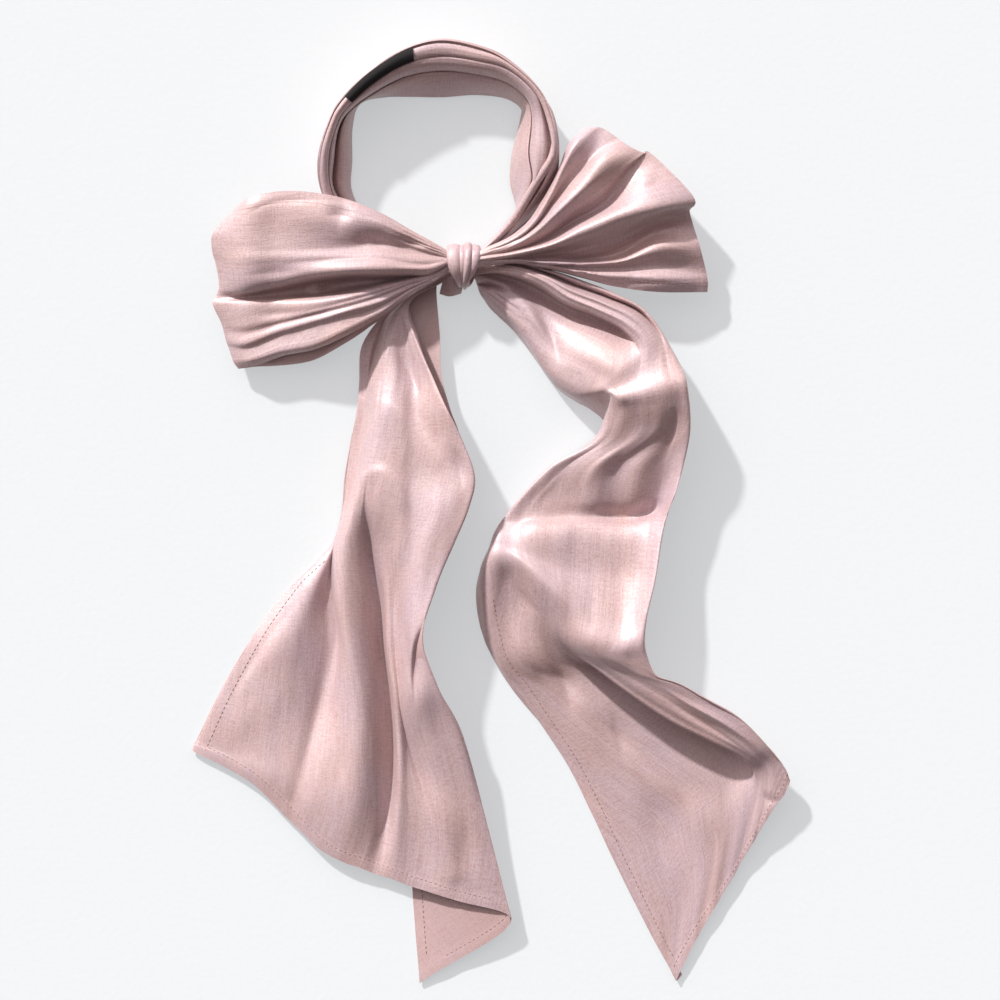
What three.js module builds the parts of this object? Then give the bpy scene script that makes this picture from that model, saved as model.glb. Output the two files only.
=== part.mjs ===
// A satin neck scarf tied in a bow, lying on a flat surface with its neck ring standing up.
// Millimetres, +Z up. X runs to the viewer's right, Y towards the neck ring.
// Every length of cloth is a sheet: curves called rails run along it through a table of sections,
// folds are pressed in along lines seen from above, and the sheet then gets its wall.
import * as THREE from "three";

// Driving sizes
const wall = 1.1;             // cloth wall, hems and plies included
const rest = wall / 2;        // height of the middle of a wall that lies flat
const seat = 0.3;             // gap between pieces that touch
const shiftX = 0.65;          // these two bring the whole scarf over the middle of the frame
const shiftY = 1.55;
const labelWall = 0.5;        // woven label
const knotStrands = 4;        // wraps that show on the front of the knot
const knotCentre = [148, 13.5]; // y and z of the gathered cloth that the knot goes round
const strandSwell = 1.1;      // how far each wrap stands out
const knotSwell = 1.5;        // how far the knot's middle stands out beyond its ends

// Shares of a fold, a sheet or a loop
const foldSteps = 16;         // straight steps that a fold's line is measured by
const foldFade = 0.25;        // share of a fold's line over which it fades in or out
const zoneFade = 0.06;        // share of the width over which folds fade out at a turned-under edge
const bendShare = 0.18;       // share of a bow loop that its bend takes up
const backCalm = 0.5;         // how much of the front ply's folds the back ply loses
const backTuck = 0.02;        // how far the back ply draws in under the front one
const mouthShare = 1 / 9;     // share of the neck band over which its pleats open out at each mouth

// Colours from the cloth and the label
const satinPink = 0xd8aea8;
const satinDeep = 0xcba09b;
const labelBlack = 0x1c1a1a;

// A table's rows become objects with the named columns.
function table(names, rows) {
  const keys = names.split(" ");
  return rows.map((row) => Object.fromEntries(keys.map((key, k) => [key, row[k]])));
}

const mix = (a, b, t) => a.map((value, k) => value + (b[k] - value) * t);
const clamp = (value, low, high) => Math.min(high, Math.max(low, value));
const ease = (t) => clamp(t, 0, 1) ** 2 * (3 - 2 * clamp(t, 0, 1));

// Smooth curve through points at the given stations (by distance along it where none are given).
function curveThrough(points, stations) {
  const at = stations ? stations.slice() : [0];
  if (!stations) {
    for (let i = 1; i < points.length; i += 1) {
      at.push(at[i - 1] + Math.hypot(...points[i].map((value, k) => value - points[i - 1][k])));
    }
    const whole = at[at.length - 1];
    at.forEach((value, i) => {
      at[i] = value / whole;
    });
  }
  const slopes = points.map((point, i) => {
    const before = Math.max(i - 1, 0);
    const after = Math.min(i + 1, points.length - 1);
    if (before === i || after === i) {
      return point.map((_, k) => (points[after][k] - points[before][k]) / (at[after] - at[before]));
    }
    const hBefore = at[i] - at[before];
    const hAfter = at[after] - at[i];
    return point.map((value, k) => {
      const slopeBefore = (value - points[before][k]) / hBefore;
      const slopeAfter = (points[after][k] - value) / hAfter;
      return (slopeBefore * hAfter + slopeAfter * hBefore) / (hBefore + hAfter);
    });
  });
  return (t) => {
    let i = 0;
    while (i < at.length - 2 && t > at[i + 1]) i += 1;
    const h = at[i + 1] - at[i];
    const s = clamp((t - at[i]) / h, 0, 1);
    const fromStart = (1 + 2 * s) * (1 - s) ** 2;
    const fromEnd = s * s * (3 - 2 * s);
    const slopeStart = s * (1 - s) ** 2 * h;
    const slopeEnd = s * s * (s - 1) * h;
    return points[i].map(
      (value, k) =>
        fromStart * value + fromEnd * points[i + 1][k] + slopeStart * slopes[i][k] + slopeEnd * slopes[i + 1][k],
    );
  };
}

// A fold is a ridge (rise above 0) or a valley (below 0) along a line seen from above. left and right are
// its half widths on either side of the line, and lean pushes the crest over towards the right-hand side.
function foldLift(folds, x, y) {
  let dx = 0;
  let dy = 0;
  let dz = 0;
  for (const fold of folds) {
    if (!fold.track) {
      const curve = curveThrough(fold.path);
      fold.track = Array.from({ length: foldSteps + 1 }, (_, i) => curve(i / foldSteps));
    }
    const { track } = fold;
    let best = { distance: Infinity };
    for (let i = 0; i < track.length - 1; i += 1) {
      const ax = track[i + 1][0] - track[i][0];
      const ay = track[i + 1][1] - track[i][1];
      const length2 = ax * ax + ay * ay;
      const t = clamp(((x - track[i][0]) * ax + (y - track[i][1]) * ay) / length2, 0, 1);
      const px = x - track[i][0] - ax * t;
      const py = y - track[i][1] - ay * t;
      const distance = Math.hypot(px, py);
      if (distance < best.distance) {
        const length = Math.sqrt(length2);
        const side = (px * ay - py * ax) / length;
        best = { distance, side, along: (i + t) / (track.length - 1), nx: ay / length, ny: -ax / length };
      }
    }
    const width = best.side < 0 ? fold.left : fold.right;
    const fade = ease(best.along / foldFade) * fold.start + 1 - fold.start;
    const tail = ease((1 - best.along) / foldFade) * fold.end + 1 - fold.end;
    const strength = Math.exp(-((best.distance / width) ** 2)) * fade * tail;
    dz += fold.rise * strength;
    dx += best.nx * fold.lean * strength;
    dy += best.ny * fold.lean * strength;
  }
  return [dx, dy, dz];
}

const foldColumns = "path rise left right lean start end";

// A sheet as a function of u (along it) and v (across it).
function clothSheet({ sections, rails, folds = [], foldZone = [0, 1], stations }) {
  const along = rails.map((rail) => curveThrough(sections.map((section) => section[rail.name]), stations));
  const across = rails.map((rail) => rail.at);
  return (u, v) => {
    const point = curveThrough(along.map((rail) => rail(u)), across)(v);
    const inZone = ease(1 - Math.max(foldZone[0] - v, v - foldZone[1], 0) / zoneFade);
    const lift = inZone > 0 ? foldLift(folds, point[0], point[1]) : [0, 0, 0];
    const lifted = point.map((value, k) => value + lift[k] * inZone);
    lifted[2] = Math.max(lifted[2], rest);
    return lifted;
  };
}

// Wall a surface: nu by nv cells, open or closed across.
function walled(surface, nu, nv, { thickness = wall, offset = 0, ring = false, uAt, vAt } = {}) {
  const us = uAt ?? Array.from({ length: nu + 1 }, (_, i) => i / nu);
  const vs = vAt ?? Array.from({ length: nv + 1 }, (_, j) => j / nv);
  const columns = ring ? vs.length - 1 : vs.length;
  const middle = us.map((u) => vs.slice(0, columns).map((v) => new THREE.Vector3(...surface(u, v))));
  const wrap = (j) => (ring ? (j + columns) % columns : clamp(j, 0, columns - 1));
  const positions = [];
  for (const side of [1, -1]) {
    for (let i = 0; i < us.length; i += 1) {
      for (let j = 0; j < columns; j += 1) {
        const alongU = middle[Math.min(i + 1, us.length - 1)][j].clone().sub(middle[Math.max(i - 1, 0)][j]);
        const alongV = middle[i][wrap(j + 1)].clone().sub(middle[i][wrap(j - 1)]);
        const normal = alongU.cross(alongV).normalize();
        const point = middle[i][j].clone().addScaledVector(normal, offset + (side * thickness) / 2);
        positions.push(point.x, point.y, Math.max(point.z, 0));
      }
    }
  }
  const layer = us.length * columns;
  const index = [];
  const quad = (a, b, c, d) => index.push(a, b, c, a, c, d);
  for (let i = 0; i < us.length - 1; i += 1) {
    for (let j = 0; j < (ring ? columns : columns - 1); j += 1) {
      const a = i * columns + j;
      const b = (i + 1) * columns + j;
      const c = (i + 1) * columns + wrap(j + 1);
      const d = i * columns + wrap(j + 1);
      quad(a, b, c, d);
      quad(layer + a, layer + d, layer + c, layer + b);
    }
  }
  const rim = (path) => {
    for (let i = 0; i < path.length - 1; i += 1) {
      quad(path[i], layer + path[i], layer + path[i + 1], path[i + 1]);
    }
  };
  const first = Array.from({ length: columns + (ring ? 1 : 0) }, (_, j) => wrap(j));
  const last = first.map((j) => (us.length - 1) * columns + j);
  rim(first.slice().reverse());
  rim(last);
  if (!ring) {
    const sides = Array.from({ length: us.length }, (_, i) => i * columns);
    rim(sides);
    rim(sides.map((k) => k + columns - 1).reverse());
  }
  const geometry = new THREE.BufferGeometry();
  geometry.setAttribute("position", new THREE.BufferAttribute(new Float32Array(positions), 3));
  geometry.setIndex(index);
  return geometry;
}

const scarf = new THREE.Group();
scarf.position.set(shiftX, shiftY, 0);

function addPiece(name, geometry, color, roughness = 0.42) {
  const finish = new THREE.MeshStandardMaterial({ color, roughness, metalness: 0 });
  const mesh = new THREE.Mesh(geometry, finish);
  mesh.name = name;
  scarf.add(mesh);
}

// Left tail, from the knot down to its hem. back is the edge of the ply folded under on the left, left
// the cloth's left-hand side, rise the front panel's raised left fold, right its right-hand side, and
// under the edge of the ply folded under there.
const leftTailSections = table("back left rise middle right under", [
  [[-24.2, 140, 3.6], [-24.2, 145.5, 4.2], [-24.2, 146.8, 7.2], [-24.2, 144, 9.4], [-24.2, 141.5, 8.6], [-24.2, 140.6, 6.4]],
  [[-33, 133, 2.5], [-66, 116, 3], [-58, 121, 8], [-54, 122, 11], [-50, 121, 10.5], [-49, 123, 7.5]],
  [[-31, 108, 9], [-73, 103, 4], [-65, 105, 13], [-56, 104, 17], [-45, 104, 17], [-44, 106, 13]],
  [[-30, 80, 17], [-75, 78, 5], [-72, 79, 11], [-54, 76, 21], [-31, 76, 25], [-34, 77, 21]],
  [[-50, 45, 8], [-79, 44, 3], [-77, 43, 9], [-52, 42, 23], [-17.5, 42, 31], [-21, 42, 25]],
  [[-80, 12, 1.5], [-89, 8, 2], [-87, 8, 9], [-52, 12, 25], [-13.5, 20, 30], [-17, 20, 24]],
  [[-98, -28, 0.5], [-104, -28, 1.2], [-92, -30, 16], [-58, -28, 21], [-29, -25, 32], [-33, -26, 26]],
  [[-128, -62, 0.5], [-134, -62, 1.2], [-91, -66, 18], [-60, -65, 18], [-38, -62, 34], [-42, -64, 27]],
  [[-148, -92, 0.5], [-153, -92, 1.2], [-86, -100, 17], [-62, -102, 16], [-37.5, -97, 31], [-43, -101, 24]],
  [[-163, -120, 0.5], [-168, -120, 1.5], [-86, -140, 15], [-58, -148, 14], [-9, -155, 18], [-46, -165, 6]],
  [[-169, -134, 0.5], [-174, -133, 2], [-93, -172, 10], [-57, -184, 10], [1, -198, 13], [-48, -222, 0.5]],
  [[-172, -145, 0.5], [-177, -143, 3], [-101, -198.5, 5], [-60, -217, 7], [9, -240, 10], [-43, -282, 2]],
]);
const leftTailRails = table("name at", [
  ["back", 0],
  ["left", 0.2],
  ["rise", 0.44],
  ["middle", 0.6],
  ["right", 0.82],
  ["under", 1],
]);
const leftTailFolds = table(foldColumns, [
  [[[-96, -14], [-98, -50], [-93, -90], [-93, -125]], -15, 16, 4, 0, 1, 1],
  [[[-93, -12], [-93, -50], [-87, -90], [-86, -125]], 3, 4, 6, -4, 1, 1],
  [[[-74, 10], [-68, -40], [-62, -90], [-59, -130], [-63, -170], [-68, -208]], -15, 14, 4, 0, 1, 0.6],
  [[[-60, -40], [-55, -90], [-52, -135], [-57, -180]], 5, 4, 9, -3, 1, 1],
  [[[-57, -100], [-47, -140], [-28, -200]], -5, 5, 6, 0, 1, 1],
  [[[-47, -30], [-49, -80], [-44, -125]], 5, 5, 6, 0, 1, 1],
  [[[-57, 102], [-48, 82], [-36, 58]], -5, 7, 7, 0, 1, 1],
  [[[-75, 66], [-52, 63], [-36, 50], [-20, 27]], 4, 6, 8, 0, 1, 1],
  [[[-88, 12], [-73, 26], [-60, 25], [-44, 8], [-30, -10]], 6, 7, 12, 0, 1, 1],
  [[[-104, -118], [-111, -145], [-118, -168]], -3, 5, 5, 0, 1, 1],
  [[[-102, -95], [-102, -130], [-108, -170]], 5, 9, 9, 0, 1, 1],
  [[[-150, -110], [-128, -80], [-108, -50]], 4, 14, 10, 0, 1, 1],
]);
const leftTail = clothSheet({
  sections: leftTailSections,
  rails: leftTailRails,
  folds: leftTailFolds,
  foldZone: [0.2, 0.82],
});
addPiece("tail_left", walled(leftTail, 28, 18), satinPink);

// Right tail, which turns over once. under and back are the plies folded under on its two sides.
const rightTailSections = table("under left middle right back", [
  [[-10, 141.8, 3.5], [-10, 141.2, 6.6], [-10, 144.5, 9.2], [-10, 147.4, 6.8], [-10, 146.6, 3.5]],
  [[0, 127, 3], [-4, 130, 6], [3, 141, 11], [11, 148.5, 9], [12, 148, 4.5]],
  [[17.5, 107, 3], [17, 109, 8], [28, 125, 15], [36, 142, 10], [41, 142, 5]],
  [[40, 80, 3], [36, 80, 12], [57, 106, 19], [69, 126, 15], [76, 128, 8]],
  [[53, 66, 4], [52, 69, 16], [77, 92, 23], [97, 107.5, 22], [103, 104, 12]],
  [[67, 55, 6], [71, 68.5, 24], [92, 75.5, 33], [113, 82, 35], [112, 86, 26]],
  [[68, 48, 8], [65, 49, 17], [90, 51, 25], [118, 55, 30], [115, 55, 22]],
  [[37, 24, 4], [33, 25.5, 11], [75, 25, 14], [113, 26, 25], [110, 25, 18]],
  [[9, -6, 4], [7, -4, 11], [60, -2, 9], [106, 1, 24], [103, 0, 17]],
  [[-9, -48, 4], [-3, -36, 17], [48, -42, 29], [96, -46, 35], [93, -46, 28]],
  [[6, -92, 0.5], [3, -82, 7], [47, -82, 19], [91, -79, 35], [88, -80, 28]],
  [[34, -130, 0.5], [31, -127, 2], [74, -112, 10], [113, -101, 30], [108, -104, 22]],
  [[64, -182, 0.5], [61, -180, 1.5], [108, -146, 6], [143, -117, 24], [138, -121, 15]],
  [[92, -238, 0.5], [90, -240, 2], [138, -185, 5], [169, -144, 18], [165, -149, 10]],
  [[114, -276, 0.5], [111, -279.5, 3], [144, -219, 6], [178, -160, 13], [175, -164, 8]],
]);
const rightTailRails = table("name at", [
  ["under", 0],
  ["left", 0.14],
  ["middle", 0.5],
  ["right", 0.86],
  ["back", 1],
]);
const rightTailFolds = table(foldColumns, [
  [[[2, 146], [15, 140], [26, 128], [60, 115], [94, 102]], -11, 5, 10, 0, 1, 1],
  [[[5, 143], [17, 134], [24, 124], [34, 104]], 5, 6, 6, 2, 1, 1],
  [[[20, 146], [50, 133], [85, 115], [101, 103]], 3, 4, 5, 0, 1, 1],
  [[[26, 122], [34, 110], [41, 96]], -6, 5, 7, 0, 1, 1],
  [[[72, 69], [92, 74], [113, 80]], 4, 13, 10, 0, 0.3, 0],
  [[[66, 48], [50, 28], [35, 8]], -8, 14, 14, 0, 1, 1],
  [[[111, 62], [104, 30], [99, 2]], -10, 8, 7, 0, 1, 0.6],
  [[[48, -3], [75, -4], [95, -2], [106, 2]], -7, 16, 10, 0, 1, 1],
  [[[1, -20], [20, -46], [50, -60], [88, -68]], 7, 9, 10, 0, 1, 1],
  [[[28, -58], [52, -84], [88, -120], [122, -142], [155, -158]], -18, 5, 16, 0, 1, 0.8],
  [[[30, -54], [60, -86], [90, -112], [125, -131], [155, -148]], 8, 14, 4, 7, 1, 0.7],
  [[[10, -40], [28, -70], [36, -95]], -5, 6, 8, 0, 1, 1],
  [[[74, -118], [78, -140], [86, -175]], -2, 6, 7, 0, 1, 1],
]);
const rightTail = clothSheet({
  sections: rightTailSections,
  rails: rightTailRails,
  folds: rightTailFolds,
  foldZone: [0.14, 0.86],
});
addPiece("tail_right", walled(rightTail, 30, 17), satinPink);

// A bow loop runs from the knot out to its bend and back beneath itself. Its front ply has rails from
// the lower hem to the upper edge; the back ply follows it, lower by the drop at each section.
function bowLoop({ sections, rails, folds, drops, heart }) {
  const front = clothSheet({ sections, rails, folds });
  const plain = clothSheet({ sections, rails });
  const dropAt = curveThrough(drops.map((drop) => [drop]), drops.map((_, i) => i / (drops.length - 1)));
  return (u, v) => {
    const reach = u < 0.5 ? u * 2 : 2 - u * 2;
    const point = front(reach, v);
    if (u <= 0.5) return point;
    const fromBend = ease((1 - reach) / bendShare);
    const below = mix(point, plain(reach, v), backCalm * fromBend);
    below[2] = Math.max(below[2] - dropAt(reach)[0] * fromBend, rest);
    const tuck = fromBend * backTuck;
    return [below[0] + (heart[0] - below[0]) * tuck, below[1] + (heart[1] - below[1]) * tuck, below[2]];
  };
}

const rightLoopSections = table("hem lobe body fan top", [
  [[-10, 146.8, 20.6], [-10, 148.6, 22.8], [-10, 151, 23.9], [-10, 153.2, 23], [-10, 154.8, 20.8]],
  [[10, 149.6, 16.4], [12, 151.6, 20.6], [13, 156, 22], [13, 160, 21], [12, 164, 18.6]],
  [[42, 143.5, 19], [45, 152, 24], [46, 166, 26], [41, 181, 26], [32, 186, 24]],
  [[80, 134.5, 20], [82, 152, 25], [82, 176, 30], [69, 201, 30], [44, 212, 26]],
  [[112, 133, 18], [110, 152, 22], [107, 181, 30], [88, 208, 31], [51, 224, 25]],
  [[128.5, 134, 14], [125.5, 152, 16], [117, 187, 24], [95, 213, 25], [56, 229, 20]],
]);
const rightLoopRails = table("name at", [
  ["hem", 0],
  ["lobe", 0.2],
  ["body", 0.5],
  ["fan", 0.8],
  ["top", 1],
]);
const rightLoopFolds = table(foldColumns, [
  [[[6, 151], [31, 150.5], [57, 150.5], [83, 157], [112, 174]], -11, 6, 7, 0, 0.7, 1],
  [[[12, 155], [37, 164], [56, 178], [73, 190], [91, 208]], -13, 6, 6, 0, 0.7, 1],
  [[[26, 172], [42, 190], [56, 208], [69, 222]], -8, 4, 4, 0, 1, 0.7],
  [[[50, 203], [62, 214], [76, 224]], -4, 4, 4, 0, 1, 0.7],
  [[[40, 154], [70, 177], [80, 193], [93, 200]], 5, 4, 9, -3, 1, 1],
  [[[30, 146], [70, 145], [110, 160]], 3, 6, 8, 0, 1, 1],
  [[[22, 166], [50, 190], [80, 214]], 4, 5, 5, 0, 1, 1],
]);
const rightLoop = bowLoop({
  sections: rightLoopSections,
  rails: rightLoopRails,
  folds: rightLoopFolds,
  drops: [2.2, 6.4, 9.4, 12, 13, 11],
  heart: [30, 160],
});
addPiece("bow_loop_right", walled(rightLoop, 26, 15), satinPink);

const leftLoopSections = table("hem lower valley body upper top", [
  [[-24, 145.4, 20], [-24, 146.8, 22], [-24, 148.8, 23.2], [-24, 151, 23.4], [-24, 153.2, 21.8], [-24, 154.2, 19.6]],
  [[-45, 130, 18], [-44, 134, 22], [-43, 141, 24], [-43, 150, 26], [-43, 159, 25], [-42, 165, 23]],
  [[-75, 109.5, 21], [-72, 117, 25], [-70, 136, 28], [-70, 152, 31], [-72, 168, 33], [-74, 181.5, 32]],
  [[-105, 93.5, 17], [-105, 104, 23], [-103, 130, 26], [-103, 152, 31], [-104, 174, 34], [-108, 191, 33]],
  [[-138, 86, 12], [-142, 98, 17], [-145, 126, 20], [-146, 154, 25], [-145, 173, 28], [-134, 190, 27]],
  [[-153, 87, 10], [-159, 107, 11], [-166, 127, 12], [-166, 157, 15], [-161, 172, 17], [-149, 184, 18]],
]);
const leftLoopRails = table("name at", [
  ["hem", 0],
  ["lower", 0.18],
  ["valley", 0.42],
  ["body", 0.62],
  ["upper", 0.82],
  ["top", 1],
]);
const leftLoopFolds = table(foldColumns, [
  [[[-26, 145], [-66, 137], [-95, 134], [-125, 130], [-160, 129]], -12, 9, 5, 0, 0.8, 0.3],
  [[[-30, 147], [-66, 143], [-95, 143], [-125, 141], [-150, 136]], 5, 4, 9, -4, 1, 1],
  [[[-30, 156], [-60, 160], [-92, 161]], 3, 4, 6, 0, 1, 1],
  [[[-50, 158], [-72, 170], [-92, 180]], -4, 7, 8, 0, 1, 1],
  [[[-143, 100], [-115, 103], [-85, 117]], -6, 5, 5, 0, 1, 1],
  [[[-148, 92], [-118, 96], [-85, 107]], 3, 5, 6, 0, 1, 1],
  [[[-150, 115], [-120, 110], [-80, 122], [-50, 134]], 4, 6, 6, 0, 1, 1],
  [[[-160, 170], [-148, 155], [-150, 138]], 4, 5, 7, 0, 1, 1],
  [[[-160, 127], [-150, 112], [-144, 98]], 4, 5, 5, 0, 1, 1],
]);
const leftLoop = bowLoop({
  sections: leftLoopSections,
  rails: leftLoopRails,
  folds: leftLoopFolds,
  drops: [2.2, 6, 9, 10, 9, 7],
  heart: [-70, 145],
});
addPiece("bow_loop_left", walled(leftLoop, 26, 16), satinPink);

// Neck band: stations round the ring from the knot's right mouth to its left one. inner and outer are
// the two feet of the folded cloth, and rim is its upper fold.
const bandStations = table("inner rim outer", [
  [[-10, 153.8, 5.4], [-10, 152.4, 8.4], [-10, 150.6, 5.4]],
  [[1, 161, 1.6], [3, 161, 9], [8, 158.5, 2]],
  [[9, 174, 0], [13, 173, 14], [20, 170, 4]],
  [[13.5, 182, 0], [21, 186, 19], [30, 182, 4]],
  [[11.5, 200, 0], [28, 199, 26], [36, 194, 3]],
  [[14, 219, 0], [37, 214, 30], [39, 209, 3]],
  [[19, 238, 0], [38, 233, 33], [36, 236, 3]],
  [[11, 247, 0], [22, 257, 34], [20, 257, 3]],
  [[-8, 250, 0], [-5, 274, 35], [-5, 270, 3]],
  [[-32, 250, 0], [-31.5, 278.5, 35], [-32, 273, 3]],
  [[-60, 248.5, 0], [-59, 274, 34], [-58, 270, 3]],
  [[-77, 246, 0], [-84, 254, 33], [-81, 254, 3]],
  [[-82.5, 233, 0], [-98, 230, 31], [-94, 230, 3]],
  [[-84, 210, 0], [-102.5, 205, 25], [-98, 206, 3]],
  [[-83, 190, 0], [-98, 187, 17], [-96, 186, 3]],
  [[-74, 176, 0], [-84, 171, 12], [-86, 166, 2]],
  [[-53, 163, 0], [-59, 158, 10], [-63, 152, 2]],
  [[-35, 155, 1.4], [-36, 152, 7.6], [-37, 149, 2.4]],
  [[-25, 153.4, 5.4], [-25, 151.4, 8.4], [-25, 149.4, 5.4]],
]);
// Section of the band from the inner foot over the rim to the outer foot: along is the share of each
// flank, and out lifts a pleat off it. Each lap hangs over the tuck below it.
const bandProfile = table("flank along out", [
  ["inner", 0, 0],
  ["inner", 0.22, 3],
  ["inner", 0.5, -1],
  ["inner", 0.38, 5.4],
  ["inner", 0.56, 5.2],
  ["inner", 0.78, -0.6],
  ["inner", 0.68, 4.6],
  ["inner", 0.86, 3],
  ["rim", 1, 0],
  ["outer", 0.6, 1.5],
  ["outer", 0, 0],
]);
const stationNumbers = bandStations.map((_, i) => i);
const bandInner = curveThrough(bandStations.map((station) => station.inner), stationNumbers);
const bandRim = curveThrough(bandStations.map((station) => station.rim), stationNumbers);
const bandOuter = curveThrough(bandStations.map((station) => station.outer), stationNumbers);
const profileShares = bandProfile.map((_, i) => i / (bandProfile.length - 1));
const glance = 0.05;          // stations ahead and behind that give the band's direction
function neckBand(u, v) {
  const station = u * (bandStations.length - 1);
  const inner = bandInner(station);
  const rim = bandRim(station);
  const outer = bandOuter(station);
  const ahead = bandRim(Math.min(station + glance, bandStations.length - 1));
  const behind = bandRim(Math.max(station - glance, 0));
  const run = new THREE.Vector3(ahead[0] - behind[0], ahead[1] - behind[1], 0).normalize();
  const inward = new THREE.Vector3(-run.y, run.x, 0);
  const swell = ease(Math.min(u, 1 - u) / mouthShare);
  const points = bandProfile.map((row) => {
    const foot = row.flank === "outer" ? outer : inner;
    const point = mix(foot, rim, row.along);
    const side = row.flank === "outer" ? -1 : 1;
    point[0] += inward.x * row.out * side * swell;
    point[1] += inward.y * row.out * side * swell;
    return point;
  });
  return curveThrough(points, profileShares)(v);
}
const bandRounds = 47;
const bandAcross = [0, 0.1, 0.2, 0.25, 0.3, 0.4, 0.5, 0.55, 0.6, 0.66, 0.72, 0.8, 0.9, 1];
const bandRound = Array.from({ length: bandRounds + 1 }, (_, i) => i / bandRounds);
addPiece("neck_band", walled(neckBand, 0, 0, { uAt: bandRound, vAt: bandAcross }), satinDeep);

// Label: a woven strip on the band's upper lap.
const labelSpan = { round: [0.525, 0.62], across: [0.65, 0.81] };
const inside = (value, [low, high]) => value > low && value < high;
const labelRound = bandRound.filter((u) => inside(u, labelSpan.round));
const labelAcross = bandAcross.filter((v) => inside(v, labelSpan.across));
const labelOffset = wall / 2 + seat + labelWall / 2;
addPiece(
  "neck_label",
  walled(neckBand, 0, 0, { uAt: labelRound, vAt: labelAcross, thickness: labelWall, offset: -labelOffset }),
  labelBlack,
  0.6,
);

// Knot: strands wrapped round the gathered cloth, drawn together at the lower front.
const knotRing = table("turn y z left right", [
  [0, 158.6, 20, -26.6, -7],
  [0.1, 153, 25.5, -26.2, -7.4],
  [0.2, 145, 25, -24.8, -9],
  [0.3, 138, 20, -21, -13],
  [0.38, 136, 14, -20, -13],
  [0.5, 137.4, 6, -22, -12],
  [0.62, 143, 1.9, -24, -10],
  [0.75, 151, 1.9, -25, -9],
  [0.88, 158.4, 7, -26, -8],
  [1, 158.6, 20, -26.6, -7],
]);
const knotTurn = curveThrough(
  knotRing.map((row) => [row.y, row.z, row.left, row.right]),
  knotRing.map((row) => row.turn),
);
function knotWrap(u, v) {
  const [y, z, left, right] = knotTurn(v);
  const strand = Math.abs(Math.sin(Math.PI * knotStrands * u));
  const bulge = strandSwell * strand + knotSwell * Math.sin(Math.PI * u);
  const fromHeart = new THREE.Vector3(0, y - knotCentre[0], z - knotCentre[1]).normalize();
  return [
    left + (right - left) * u,
    y + fromHeart.y * bulge,
    Math.max(z + fromHeart.z * bulge, rest),
  ];
}
addPiece("knot", walled(knotWrap, 12, 18, { ring: true }), satinPink);

// The folded end below the knot.
const underFoldSections = table("left middle right", [
  [[-27.5, 137.2, 4.6], [-22.5, 134.4, 7.6], [-17, 133.4, 5.6]],
  [[-30, 133.6, 4], [-24, 132, 6.5], [-17.4, 132.6, 4.6]],
  [[-32, 130, 1.4], [-25, 128.8, 3], [-18, 131.4, 1.6]],
]);
const underFold = clothSheet({
  sections: underFoldSections,
  rails: table("name at", [["left", 0], ["middle", 0.5], ["right", 1]]),
});
addPiece("knot_under_fold", walled(underFold, 4, 6), satinDeep);

scarf.updateMatrixWorld(true);

export default scarf;
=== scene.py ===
import math

import bpy
import numpy as np
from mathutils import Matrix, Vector


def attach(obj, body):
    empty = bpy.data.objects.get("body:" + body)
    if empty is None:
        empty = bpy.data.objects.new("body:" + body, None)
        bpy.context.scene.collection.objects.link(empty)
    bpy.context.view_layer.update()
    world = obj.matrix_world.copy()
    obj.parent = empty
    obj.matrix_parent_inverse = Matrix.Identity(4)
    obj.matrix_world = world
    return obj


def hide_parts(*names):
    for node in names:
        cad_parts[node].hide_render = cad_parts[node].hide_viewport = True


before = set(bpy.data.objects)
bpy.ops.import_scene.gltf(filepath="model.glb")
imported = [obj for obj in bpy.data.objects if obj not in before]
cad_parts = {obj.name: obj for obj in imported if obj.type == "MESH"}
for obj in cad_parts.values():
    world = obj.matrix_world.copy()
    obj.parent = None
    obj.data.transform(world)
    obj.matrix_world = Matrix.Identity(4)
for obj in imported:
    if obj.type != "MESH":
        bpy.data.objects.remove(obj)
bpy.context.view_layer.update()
scene = bpy.context.scene
print("frame loaded")

# The tables below are in millimetres, in the cloth's own drawing: X right, Y towards the neck ring, Z up.
drawing = {
    "shift": (0.65, 1.55, 0.0),     # from the drawing to the frame
    "wall": 0.55,                   # one ply of satin
    "rest": 0.5,                    # height of the middle of cloth that lies flat
    "lowest": 0.02,                 # no vertex is below it
    "sharpAngle": 50,               # degrees between faces that meet in a hard edge
}

# Camera: straight above, as the photograph was taken.
cameraView = {"lens": 180.0, "sensor": 36.0, "height": 3.0, "middle": (0.0051, 0.0078)}


def makeCamera():
    data = bpy.data.cameras.new("camera")
    data.lens = cameraView["lens"]
    data.sensor_width = cameraView["sensor"]
    camera = bpy.data.objects.new("camera", data)
    x, y = cameraView["middle"]
    camera.location = (x + drawing["shift"][0] / 1000, y + drawing["shift"][1] / 1000, cameraView["height"])
    scene.collection.objects.link(camera)
    scene.camera = camera


makeCamera()
print("camera placed")


# Shapes

def ease(t):
    t = np.clip(t, 0, 1)
    return t * t * (3 - 2 * t)


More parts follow.
